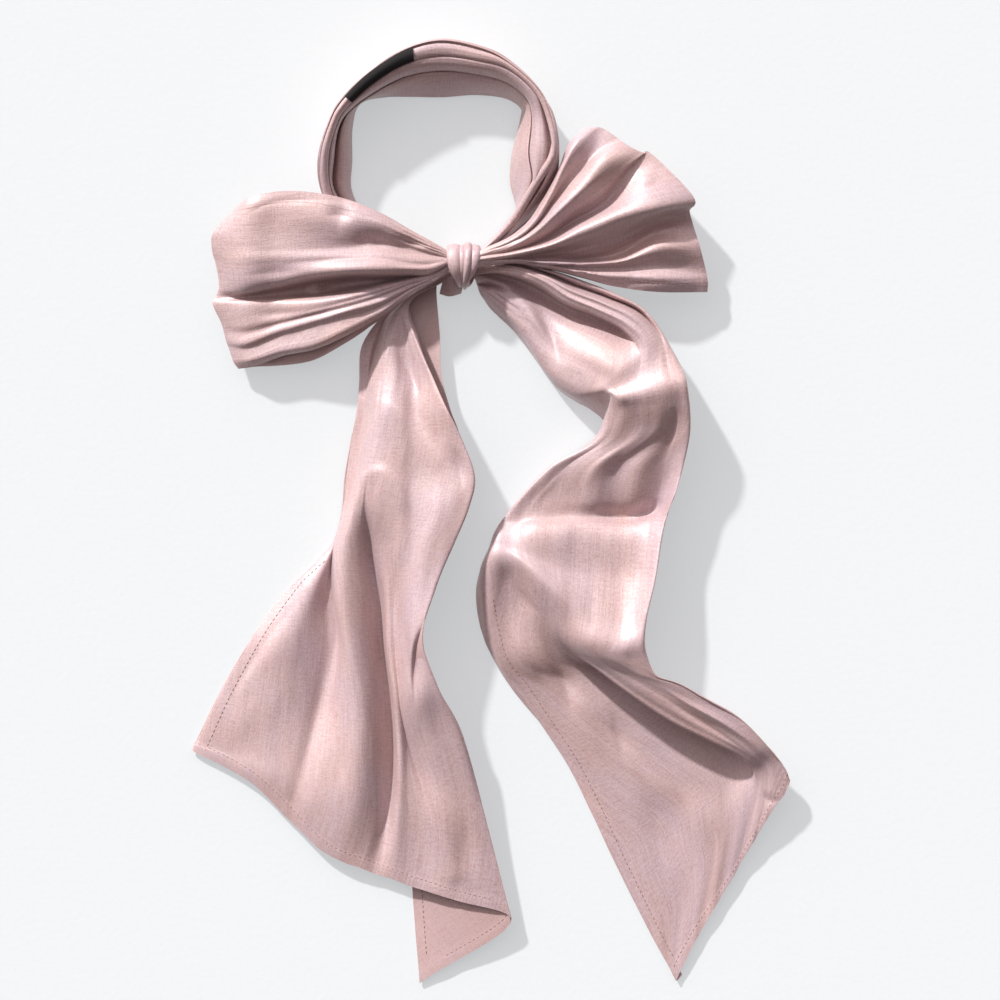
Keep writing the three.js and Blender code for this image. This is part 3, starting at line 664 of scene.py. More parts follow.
# Left tail. back is the edge of the ply folded under on the left, left the cloth's left-hand side, tuck the
# fold where the outer flap goes under the body, rise the body's left edge, valley the crease down its middle,
# right its right-hand side, and under the edge folded under there.
leftTail = {
    "cells": (280, 166),        # along and across
    "flat": (0.2, 0.37),        # width and length of its cloth laid flat, in metres
    "foldZone": (0.14, 0.78),   # shares of its width between which the folds are pressed in
    "foldedEdges": (0.12, 0.8),
    "stitchedFrom": 0.52,       # where the stitches of its side start, as a share of its length
    "turnedFrom": 0.9,          # and those of the corner folded under
    "gathers": {"count": 9, "near": 12, "far": 50, "height": 0.4, "seed": 3},
    "seed": 11,
    "rails": [
        ("back", 0), ("left", 0.12), ("flap", 0.24), ("tuck", 0.33), ("rise", 0.37), ("stripe", 0.42),
        ("fall", 0.49), ("valley", 0.53), ("ridge", 0.56), ("mid", 0.6), ("dip", 0.65), ("crest", 0.72),
        ("right", 0.8), ("under", 1),
    ],
    "sections": [
        [
            (-24.2, 140, 3.6), (-24.2, 145.5, 4.2), (-24.2, 146.3, 5.5), (-24.2, 146.6, 6.5),
            (-24.2, 146.7, 7.4), (-24.2, 146.3, 8.2), (-24.2, 145.9, 8.4), (-24.2, 145.6, 8.6),
            (-24.2, 145, 9.2), (-24.2, 144.2, 9.4), (-24.2, 143.4, 9.3), (-24.2, 142.6, 9.1),
            (-24.2, 141.5, 8.6), (-24.2, 140.6, 6.4),
        ],
        [
            (-33, 133, 2.5), (-66, 116, 3), (-64, 117, 4), (-62.5, 117.5, 5), (-60, 118.5, 8.5),
            (-58.5, 119, 10), (-57.6, 119.3, 10.3), (-57, 119.5, 10.5), (-56, 120, 11.5),
            (-55, 120.5, 11.8), (-54, 121, 11.5), (-52.5, 121.3, 11.5), (-50.5, 121, 11), (-49, 123, 7.5),
        ],
        [
            (-31, 108, 6), (-74.5, 101, 3.5), (-71, 102, 4.5), (-67.5, 103, 5), (-65, 103.5, 11),
            (-63.5, 103.5, 13.5), (-61.5, 103.5, 14.2), (-60, 103.5, 14.5), (-57.5, 103.5, 14),
            (-54.5, 103.5, 13), (-51.5, 103.5, 13), (-48.5, 103.7, 15.5), (-45.5, 104, 17), (-44, 106, 12),
        ],
        [
            (-29.5, 80, 9), (-75.5, 79, 4), (-74.5, 79, 5), (-73.5, 79, 6), (-71.5, 79.5, 10.5),
            (-68, 79.5, 15), (-65.5, 79.5, 16.6), (-63, 79.5, 18), (-58, 79.5, 19.5), (-53.5, 79, 19),
            (-47.5, 79, 17.5), (-42, 79, 21), (-35.5, 79, 25), (-36, 80, 20),
        ],
        [
            (-24.5, 62, 11), (-76.5, 62, 4.5), (-76, 62, 6.5), (-75.2, 62, 8.5), (-73.5, 62, 12),
            (-70, 62, 18), (-67, 62, 20.5), (-65, 62, 22), (-60, 62, 23.5), (-54, 62, 24), (-47, 62, 21.5),
            (-38, 62, 25.5), (-28.5, 62, 30.5), (-32, 63, 25),
        ],
        [
            (-18.6, 43, 12), (-80, 43, 3), (-79.5, 43, 5.5), (-78.8, 43, 8), (-77, 43, 12), (-73, 43, 19.5),
            (-70, 43, 21.5), (-68, 42.5, 23), (-62, 42.5, 24.5), (-54, 42, 25.5), (-46, 42, 24.5),
            (-33, 42, 26.5), (-20, 42, 30.5), (-23.5, 42, 25),
        ],
        [
            (-26, 24, 10), (-84, 22, 2.5), (-83.5, 22, 5), (-82.8, 22, 8), (-81.5, 22, 12), (-78, 22.5, 19),
            (-74.5, 23, 22), (-72, 23, 23), (-66, 23, 25.5), (-57, 22.5, 27), (-47, 22, 26),
            (-30, 21.5, 28), (-14, 21, 31), (-17.5, 21, 25),
        ],
        [
            (-66, 4, 3), (-88, 4, 2), (-87.5, 4, 4.5), (-87, 4, 8), (-86, 4, 12.5), (-83, 4, 19),
            (-77.5, 4, 20.5), (-74, 4, 20), (-67, 4, 24.5), (-56, 4, 28.5), (-46, 4, 28), (-32, 3.5, 31),
            (-17, 4, 31.5), (-20.5, 4, 25),
        ],
        [
            (-92, -18, 0.6), (-95, -18, 1.5), (-94, -18, 3.2), (-93.6, -18, 4.5), (-92.4, -18.5, 13),
            (-88.5, -19, 19), (-79, -20, 17), (-73, -20, 10.5), (-66, -20, 17), (-56, -19, 25.5),
            (-47, -19, 28.5), (-38, -19, 32.5), (-25, -18, 32.5), (-29, -18, 25.5),
        ],
        [
            (-116, -45, 0.5), (-121, -45, 1.2), (-107, -46, 7), (-95, -48, 1.2), (-93, -48.5, 12.5),
            (-89, -49, 19.5), (-76, -49, 15), (-67.5, -49, 5), (-63, -49, 14.5), (-57, -48, 17.5),
            (-50, -47, 27), (-43, -46, 32.5), (-34.5, -45, 34), (-38, -46, 27),
        ],
        [
            (-138, -76, 0.5), (-143, -75, 1.2), (-118, -76, 8.5), (-92, -78, 1.5), (-89.6, -79, 12),
            (-84.5, -80, 19), (-73, -80, 13.5), (-65.5, -80, 2.5), (-62, -80, 14), (-57, -79, 16),
            (-51, -77, 25), (-47, -75, 32), (-41.5, -74, 35), (-46, -76, 27),
        ],
        [
            (-155, -107, 0.5), (-160, -105, 1.3), (-124, -107, 7), (-97, -110, 4), (-90, -111, 11.5),
            (-80, -112, 17.5), (-69, -112, 12.5), (-61, -112, 2), (-57.5, -112, 14), (-54.5, -111, 15),
            (-50, -108, 22), (-44, -105, 29), (-33, -103, 31), (-45, -104, 21),
        ],
        [
            (-169, -136, 0.5), (-174.5, -136, 2), (-132, -142, 5), (-104, -146, 8), (-92, -147, 11.5),
            (-80, -148, 16), (-68, -148, 11.5), (-59.5, -148, 1.5), (-55.5, -147, 11.5),
            (-50.5, -146, 11.5), (-44, -143, 15), (-33, -137, 21), (-18, -133, 22), (-46, -150, 8),
        ],
        [
            (-171, -141, 0.5), (-176.5, -140, 2.6), (-138, -155, 5), (-110, -170, 8), (-97, -174, 10),
            (-84, -178, 12.5), (-70, -182, 8.5), (-62, -183, 3), (-57, -184, 9.5), (-49, -186, 9),
            (-40, -187, 9.5), (-22, -188, 14), (-2, -192, 14), (-48, -215, 0.6),
        ],
        [
            (-172, -146, 0.5), (-177.5, -143.5, 3), (-142, -163, 4), (-120, -185, 4.5), (-104, -200, 5),
            (-90, -208, 6), (-78, -212.5, 6), (-70, -216, 5), (-60, -219, 6.5), (-50, -223, 6.5),
            (-40, -226, 7), (-20, -232, 9), (9.5, -240, 10), (-43, -282, 2),
        ],
    ],
    "folds": [
        ([(-96, -72), (-104, -115), (-112, -148), (-119, -172)], -3, 11, 5, 1, 0.6),
        ([(-57, -100), (-55, -115), (-49, -140), (-41, -165), (-31, -198)], -4, 4.5, 3, 1, 1),
        ([(-39, -64), (-44, -78), (-46, -95), (-45, -118)], -5, 5, 2, 0.7, 1),
        ([(-60, 108), (-55, 95), (-47, 80), (-39, 64)], -2, 6, 4, 1, 1),
        ([(-73, 68), (-62, 65), (-52, 58), (-44, 47), (-34, 34), (-20, 16)], 1.5, 3.6, 14, 0.8, 1),
        ([(-84, 14), (-76, 22), (-66, 25), (-58, 19), (-51, 6), (-47, -6)], 1.6, 3.6, 12, 1, 1),
        ([(-26, 44), (-19, 28), (-17, 10)], -2.5, 4, 6, 1, 1),
        ([(-35, -88), (-24, -120), (-14, -150), (-8, -180)], 2.5, 7, 8, 1, 1),
        ([(-44, -150), (-32, -180), (-22, -215)], 2.5, 8, 8, 1, 0.5),
        ([(-16, -175), (-14, -200), (-10, -228)], -1, 7, 7, 1, 0.5),
        ([(-160, -120), (-148, -97), (-133, -74), (-112, -48)], -1.2, 5, 3, 1, 1),
        ([(-140, -100), (-128, -80), (-114, -62)], 0.8, 12, 9, 1, 1),
        ([(-132, -150), (-127, -125), (-122, -100)], -0.6, 4, 5, 1, 1),
        ([(-152, -142), (-148, -125), (-138, -108)], 0.6, 6, 6, 1, 1),
    ],
}

# Right tail, which turns over once. under and back are the plies folded under on its two sides.
rightTail = {
    "cells": (290, 166),
    "flat": (0.15, 0.47),
    "foldZone": (0.1, 0.9),
    "foldedEdges": (0.09, 0.91),
    "stitchedFrom": 0.62,
    "gathers": {"count": 9, "near": 12, "far": 55, "height": 0.5, "seed": 5},
    "seed": 31,
    "rails": [
        ("under", 0), ("left", 0.09), ("low", 0.25), ("floor", 0.38), ("throat", 0.43), ("lip", 0.47),
        ("brow", 0.51), ("crest", 0.62), ("verge", 0.72), ("lens", 0.76), ("outer", 0.83), ("right", 0.91),
        ("back", 1),
    ],
    "sections": [
        [
            (-10, 141.8, 3.5), (-10, 141.2, 6.6), (-10, 141.8, 7.8), (-10, 142.4, 8.4), (-10, 142.9, 8.7),
            (-10, 143.4, 9), (-10, 143.9, 9.3), (-10, 144.6, 9.3), (-10, 145.3, 9.1), (-10, 145.8, 8.7),
            (-10, 146.5, 8.1), (-10, 147.4, 6.6), (-10, 146.6, 3.5),
        ],
        [
            (-5, 127.5, 2), (-4, 131, 6), (-2.5, 134, 8), (0, 138, 8), (2.5, 142.8, 3.5), (3, 144.4, 12.5),
            (4.5, 145.3, 13), (6, 146.5, 13), (8, 147.6, 11.5), (9, 148.2, 9.5), (10.5, 148.9, 10.5),
            (12, 149.3, 8.5), (12, 148, 4),
        ],
        [
            (14, 108, 2), (17, 110, 9), (20, 116, 11), (23.5, 124, 8), (27, 134.6, 2.5),
            (26.4, 136.6, 15.5), (28, 138.8, 19), (30, 140.2, 18.5), (32.5, 142, 16), (34.2, 143, 9),
            (36, 143.6, 14), (38.5, 144, 12), (41, 142, 5),
        ],
        [
            (31, 86, 3), (30, 88.5, 10), (35, 96, 15), (41, 112, 12.5), (45, 123.6, 4.5), (44, 124.7, 18.6),
            (45.5, 127.2, 22), (47.5, 130, 22), (50, 133.5, 19.5), (51.4, 135.4, 9), (53, 137.4, 16.5),
            (54.5, 138.5, 14), (57, 135, 6),
        ],
        [
            (40, 75, 4), (39.5, 77.5, 13.5), (47, 89, 21), (57, 106, 18.5), (62.5, 116.8, 9.5),
            (61.3, 117.4, 21.5), (62.5, 119.7, 25), (65, 123, 25), (68, 126.6, 21.5), (69.4, 128.6, 10.5),
            (71, 130.4, 18), (72.5, 131.2, 15.5), (75, 127, 8),
        ],
        [
            (53, 66, 5), (52, 69, 18), (62, 82, 27), (73, 97, 26), (80, 107, 16), (79.3, 107.6, 24.8),
            (81, 109.7, 27.5), (84, 113, 27.5), (88, 117, 23), (89.8, 118.7, 13.5), (91.5, 119.6, 20.5),
            (93, 118.5, 18), (94, 112, 10),
        ],
        [
            (60, 62, 6), (61, 69.3, 22.5), (70, 79.5, 30), (79, 88.5, 31), (86.5, 95, 28.5),
            (88.5, 97, 28.7), (90.5, 98.5, 29.3), (95, 101.5, 28.5), (99.5, 103.4, 25), (101, 103.5, 23.5),
            (103, 103, 23.5), (106, 99.5, 21.5), (105, 96, 14),
        ],
        [
            (66, 57, 6.5), (67, 69.2, 24.5), (74, 73.5, 31.5), (81, 77, 32.3), (86, 79.5, 32.2),
            (88.5, 80.8, 32.2), (91, 82, 32), (97, 84.5, 32), (102, 86.5, 31.5), (104, 87, 30.5),
            (107, 87.5, 30), (113, 86, 29), (109, 88, 20),
        ],
        [
            (68, 54, 7), (70.5, 67.6, 26), (76, 68.5, 34.5), (82, 69.8, 36), (87, 71, 36.5),
            (90, 71.8, 36.7), (92.5, 72.5, 36.8), (99, 74.3, 37), (104.5, 76, 36.8), (106.5, 76.6, 36.3),
            (110, 77.4, 35.6), (115.5, 78, 34), (112, 80, 26),
        ],
        [
            (67, 50, 7), (69.5, 62, 21.5), (76, 62, 29.5), (83, 62.5, 33), (88, 63, 34), (91, 63.2, 34.3),
            (93.5, 63.5, 34.5), (100, 64.5, 35), (106, 65.5, 34.5), (108.5, 66, 34), (112, 66.5, 33.5),
            (117.3, 66, 32.5), (113, 67, 24),
        ],
        [
            (62, 44, 6), (65.5, 48, 17), (72, 49, 22.5), (80, 50, 26), (86, 50.7, 28), (89.5, 51, 28.8),
            (92.5, 51.3, 29.3), (100, 52, 30), (106, 52.5, 28.5), (108.5, 53, 27.5), (112, 53.5, 28.5),
            (118, 54, 30), (114, 55, 21),
        ],
        [
            (37, 24, 4), (33, 25.5, 12.5), (42, 25, 13), (50, 25, 14.5), (56, 25, 16.2), (60.5, 25, 17.8),
            (64, 25, 18.2), (76, 25, 17), (90, 25, 20), (98, 25, 19), (105, 26, 20), (113.5, 27, 24),
            (110, 25, 17),
        ],
        [
            (20, 6, 4), (16.5, 8, 12.5), (26, 8, 12.5), (37, 7.5, 11.5), (47, 7, 12), (54, 7, 13),
            (60, 7, 13.4), (74, 7.5, 12), (88, 8, 13.5), (96, 9, 12.5), (102, 10, 14.5), (109, 11, 24),
            (106, 9, 17),
        ],
        [
            (8, -7, 4), (6, -5, 11.5), (18, -4.5, 13.5), (31, -4, 13.5), (44, -3.2, 12.5), (52, -2.6, 12),
            (58, -2.6, 10.5), (72, -3.4, 7.5), (86, -2.8, 7), (93, -1, 7.5), (99, 1, 11), (105.5, 2.5, 24),
            (103, 0, 17),
        ],
        [
            (5, -12, 4), (4, -8, 12), (16, -7.5, 15), (30, -7.5, 17.5), (43, -7.3, 17.5), (51, -6.8, 16.5),
            (57, -6.5, 15.5), (71, -7, 14), (85, -6.5, 14), (92, -5, 14.5), (98, -3.5, 17.5),
            (103.5, -4, 24.5), (101, -7, 17.5),
        ],
        [
            (-2, -24, 4), (0, -18, 14.5), (12, -20, 19.5), (26, -27, 22), (40, -33, 22), (48, -36, 21.5),
            (55, -37, 21), (69, -39, 20.5), (80, -40, 21), (86, -40, 22.5), (92, -40, 26), (97, -40, 31),
            (94, -41, 24),
        ],
        [
            (-9, -46, 4), (-3.5, -33, 16), (12, -29, 21.5), (25, -38, 26), (38, -49, 28.5), (46, -55, 28.5),
            (54, -59, 28), (69, -63, 28), (79, -64.5, 28.5), (84, -64.5, 29.5), (88, -64, 31.5),
            (92, -62, 33.5), (89, -62, 28),
        ],
        [
            (-7, -66, 2), (-2, -52, 13), (11, -43, 15), (22, -53, 17), (34, -63, 20.5), (44, -69, 25),
            (53, -71.5, 29.5), (68, -75, 32.5), (78, -76, 33.5), (83, -76, 34), (87, -75.5, 34.2),
            (90.7, -74, 34), (88, -76, 27),
        ],
        [
            (6, -95, 0.5), (5, -88, 6), (16, -86, 10), (31, -88, 11), (46, -84.5, 12), (49, -82.5, 19.5),
            (53, -82.5, 24.5), (67, -85, 31), (78, -86.5, 32.5), (83, -87, 32), (88, -87, 32.3),
            (92.5, -86, 32), (90, -89, 25),
        ],
        [
            (18, -112, 0.5), (17, -105, 3.5), (31, -102, 6.5), (49, -99, 6), (66, -92.5, 5.5),
            (63, -93.5, 20.5), (66.5, -93, 24), (77, -93.5, 28), (85, -94.5, 30), (89, -95, 30.5),
            (93, -95.5, 30.8), (97.5, -96, 30.5), (94, -99, 23),
        ],
        [
            (34, -131, 0.5), (31, -127, 2), (50, -122, 4.5), (70, -117, 5), (87, -107.5, 5),
            (83.5, -109.3, 21), (87.5, -108.3, 24.5), (96, -105, 27.5), (101.5, -103, 29),
            (104.5, -102, 29.5), (108, -101.3, 29.5), (113, -102, 29), (109, -106, 21),
        ],
        [
            (48, -154, 0.5), (46, -150, 1.6), (66, -144, 3.5), (91, -135, 4.5), (110, -122.5, 5),
            (107, -124.8, 20.5), (110.5, -122.5, 24), (117, -117.5, 26), (121.5, -113.5, 27),
            (124, -112, 27), (127, -110.8, 27), (131, -113, 26.5), (127, -118, 18),
        ],
        [
            (63, -184, 0.5), (61, -180, 1.5), (84, -170, 3.5), (113, -152, 4.5), (132, -134.5, 5),
            (130, -136.3, 19.5), (133, -133.8, 22.5), (138, -128.5, 24), (141, -125, 24.5),
            (143, -122.5, 24), (145.5, -120.5, 23.5), (149, -124, 23), (145, -129, 15),
        ],
        [
            (78, -215, 0.5), (76, -212, 1.5), (101, -194, 3.5), (135, -167, 4.5), (152, -147, 6),
            (151, -148, 15.5), (153.5, -146, 18.5), (157, -142.5, 20), (159.5, -140, 20.5),
            (161, -138.5, 20), (163, -137, 19.5), (165, -140.5, 19), (161, -145, 11),
        ],
        [
            (94, -246, 0.5), (92, -244, 2), (113, -218, 3.5), (141, -183, 6), (154, -164, 8.5),
            (158, -159, 11.5), (161, -155.5, 13.5), (164, -152, 15), (167, -149, 16), (169, -147.5, 16),
            (171, -146.5, 16), (173, -150, 15.5), (169, -154, 8),
        ],
        [
            (114, -277, 0.5), (111, -280, 2.5), (123, -255, 3.5), (137, -231, 4.5), (144, -219.5, 5),
            (149, -210, 6), (153.5, -202.5, 7), (161, -189.5, 9), (168, -178, 11.5), (171.5, -173, 12),
            (175.5, -167, 12.5), (178, -160, 13), (175, -165, 8),
        ],
    ],
    "folds": [
        ([(-8, 137), (0, 136), (7, 134.4)], -7, 1.6, 1.6, 0.5, 0.4),
        ([(-6, 141), (6, 138), (18, 128), (28, 112), (38, 96)], 2.5, 4, 4, 0.6, 1),
        ([(24, 126), (32, 114), (38, 100), (42, 86)], -3, 6, 3.4, 1, 1),
        ([(60, 98), (72, 92), (86, 90)], -0.8, 7, 7, 1, 1),
        ([(72, 56), (64, 36), (55, 12)], 1.2, 7, 8, 1, 1),
        ([(86, 56), (77, 36), (70, 12)], -1.4, 9, 9, 1, 1),
        ([(13, -40), (18, -47), (24, -54), (31, -62)], -1.2, 1.2, 9, 1, 1),
        ([(28, -66), (37, -86), (45, -106), (48, -124)], -3, 9, 5, 1, 1),
        ([(50, -96), (54, -112), (60, -130), (66, -150)], 1, 9, 9, 1, 1),
        ([(70, -108), (75, -130), (80, -156)], -1, 8, 2, 1, 1),
        ([(14, -60), (18, -80), (30, -104)], 2, 6, 6, 1, 1),
        ([(98, -101), (116, -113), (136, -124), (158, -139)], 1.6, 2.4, 2.4, 1, 1),
        ([(100, -108), (118, -120), (140, -134), (156, -146)], -2, 2.6, 2.6, 1, 1),
        ([(90, -160), (100, -190), (106, -225)], -1.4, 9, 9, 1, 1),
        ([(118, -158), (126, -180), (130, -205)], 1.5, 9, 9, 1, 1),
        ([(160, -166), (168, -172), (174, -170)], -1.2, 3, 3, 1, 1),
    ],
}


def makeTail(name, node, tail):
    nu, nv = tail["cells"]
    us, vs = np.linspace(0, 1, nu + 1), np.linspace(0, 1, nv + 1)
    points = gathers(sheetPoints(tail, us, vs), vs, tail["gathers"])
    points = crumple(points, tail["seed"], calmNear(vs, tail["foldedEdges"], tailShape["calm"])[None])
    thickness = hemThickness(points, ("last",))
    piece = makePiece(name + "Satin", [walledCloth(points, thickness)], [satin, satinBack])
    dress(piece, node)
    left, right = [int(edge * nv) for edge in tail["foldedEdges"]]
    before, after = tailShape["endClear"]
    lastRow = nu - tailShape["sideClear"]
    lines = [
        lineInside(points, range(int(nu * tail["stitchedFrom"]), lastRow), left, hem["width"]),
        lineFromEnd(points, range(left + before, right - after), hem["width"]),
    ]
    if "turnedFrom" in tail:
        before, after = tailShape["turnedClear"]
        lines.append(lineFromEnd(points, range(right + before, nv - after), hem["width"], -1))
        lines.append(lineInside(points, range(int(nu * tail["turnedFrom"]), lastRow), nv, -hem["width"], -1))
    stitches = makeStitches(name + "Stitches", lines)
    print(name, "made")


# Bow loops: each runs from the knot out to its bend and back beneath itself. Rails go from the lower hem
# to the upper edge. At each section the back ply is lower than the front one by the drop, and its hem shows
# beyond the front one's by hemOut.
loopShape = {
    "bendShare": 0.18,          # share of the reach over which the back ply parts from the front one
    "backCalm": 0.5,            # how much of the folds the back ply loses
    "backTuck": 0.02,           # how far the back ply is drawn towards the loop's heart
    "hemShare": 0.2,            # share of the width over which its hem is let out
    "crumple": 0.75,
    "calm": 0.05,               # share of the length without crumples at the bend
    "stitched": (0.12, 0.48),   # stretch of the hem that has stitches in sight
}

rightLoop = {
    "mirrored": False,
    "cells": (230, 164),
    "flat": (0.105, 0.26),
    "gathers": {"count": 13, "near": 10, "far": 55, "height": 0.45, "seed": 7},
    "seed": 47,
    "heart": (30, 160),         # middle of the loop
    "drops": (2.2, 6, 8.5, 10.5, 12, 12, 11),
    "hemOut": (0, 0, 0, 0, 0, 0, 0),
    "rails": [
        ("hem", 0), ("hemCrest", 0.07), ("groove", 0.14), ("lobe", 0.2), ("crease", 0.25), ("slope", 0.35),
        ("body", 0.51), ("pleat", 0.56), ("rise", 0.66), ("third", 0.76), ("fan", 0.82), ("rim", 0.93),
        ("top", 1),
    ],
    "sections": [
        [
            (-10, 146.8, 20.6), (-10, 147.5, 21.6), (-10, 148.1, 22.3), (-10, 148.7, 22.9),
            (-10, 149.4, 23.2), (-10, 150.2, 23.7), (-10, 151, 23.9), (-10, 151.8, 23.7),
            (-10, 152.4, 23.4), (-10, 153, 23.1), (-10, 153.6, 22.6), (-10, 154.2, 21.8),
            (-10, 154.8, 20.8),
        ],
        [
            (12, 149.3, 17), (12, 149.9, 20), (12, 150.2, 19.5), (12, 150.8, 21.5), (12, 151.6, 19.2),
            (12.5, 152.6, 21), (13, 155, 23.8), (13, 156.4, 20.5), (12.5, 157.8, 22), (12.5, 159.6, 24),
            (12, 161, 22.5), (12, 162.6, 23), (11.5, 164, 19),
        ],
        [
            (32, 146.2, 17.5), (33, 147.4, 21), (33, 148, 20), (34, 149.4, 23.5), (34, 150.8, 16),
            (34, 155, 20), (34.5, 160.6, 27), (32, 162.4, 17.5), (29.5, 165.5, 23.5), (27.5, 168.5, 26.5),
            (26, 170.6, 22), (24.5, 172.2, 25.5), (22.5, 173.5, 21),
        ],
        [
            (53, 141, 18.5), (53, 143.5, 23), (54, 146, 20.5), (55, 148.6, 24.5), (55, 151, 14),
            (54, 157, 20), (53, 170, 30), (49.5, 172.8, 18), (45.5, 178, 26), (41.5, 183, 30),
            (38.5, 187, 23.5), (35.5, 189.5, 28), (33.5, 189.5, 23),
        ],
        [
            (76, 134.9, 19), (77, 140.5, 24), (78, 146, 20.5), (78, 150.5, 25), (77, 154, 15.5),
            (75.5, 163, 22), (75, 179.5, 33), (69.5, 184, 20), (63, 191, 27.5), (56, 198, 32),
            (50.5, 201.5, 24), (43, 206, 29), (41, 205.5, 24),
        ],
        [
            (99, 132.4, 18.5), (100, 139.5, 23.5), (100, 147.5, 20), (99.5, 158, 26), (97, 165, 18),
            (95, 173, 24.5), (93.5, 187.5, 33), (82.5, 198.5, 23), (76, 203.5, 28.5), (67, 210.5, 32),
            (59.5, 213, 25.5), (49.5, 218, 29), (46, 218, 24),
        ],
        [
            (128.5, 132, 13), (128.8, 139, 14.5), (127.5, 146, 15), (124, 159, 18.5), (121, 169, 17),
            (118, 179, 19.5), (114.5, 195, 24), (98, 211.5, 21), (90, 214.5, 22), (80, 219.5, 23),
            (69, 227.5, 20.5), (60, 229.5, 21), (54, 229, 19.5),
        ],
    ],
    "folds": [
        ([(46, 194), (56, 207), (66, 217), (78, 224)], -3, 4, 1.8, 1, 0.7),
        ([(16, 161), (34, 174), (50, 188), (66, 205)], 2.2, 3.5, 3.5, 1, 1),
        ([(60, 160), (80, 171), (98, 180)], -1.8, 5, 5, 1, 1),
        ([(40, 153), (64, 160), (88, 172)], 1.6, 4, 4, 1, 1),
        ([(52, 139), (80, 137.6), (112, 136.6)], -1.8, 3, 2, 1, 0.8),
        ([(84, 190), (92, 199), (100, 205)], 2, 4, 4, 1, 1),
        ([(36, 152.6), (56, 154), (74, 158)], 1.4, 1.6, 1.6, 1, 1),
    ],
}

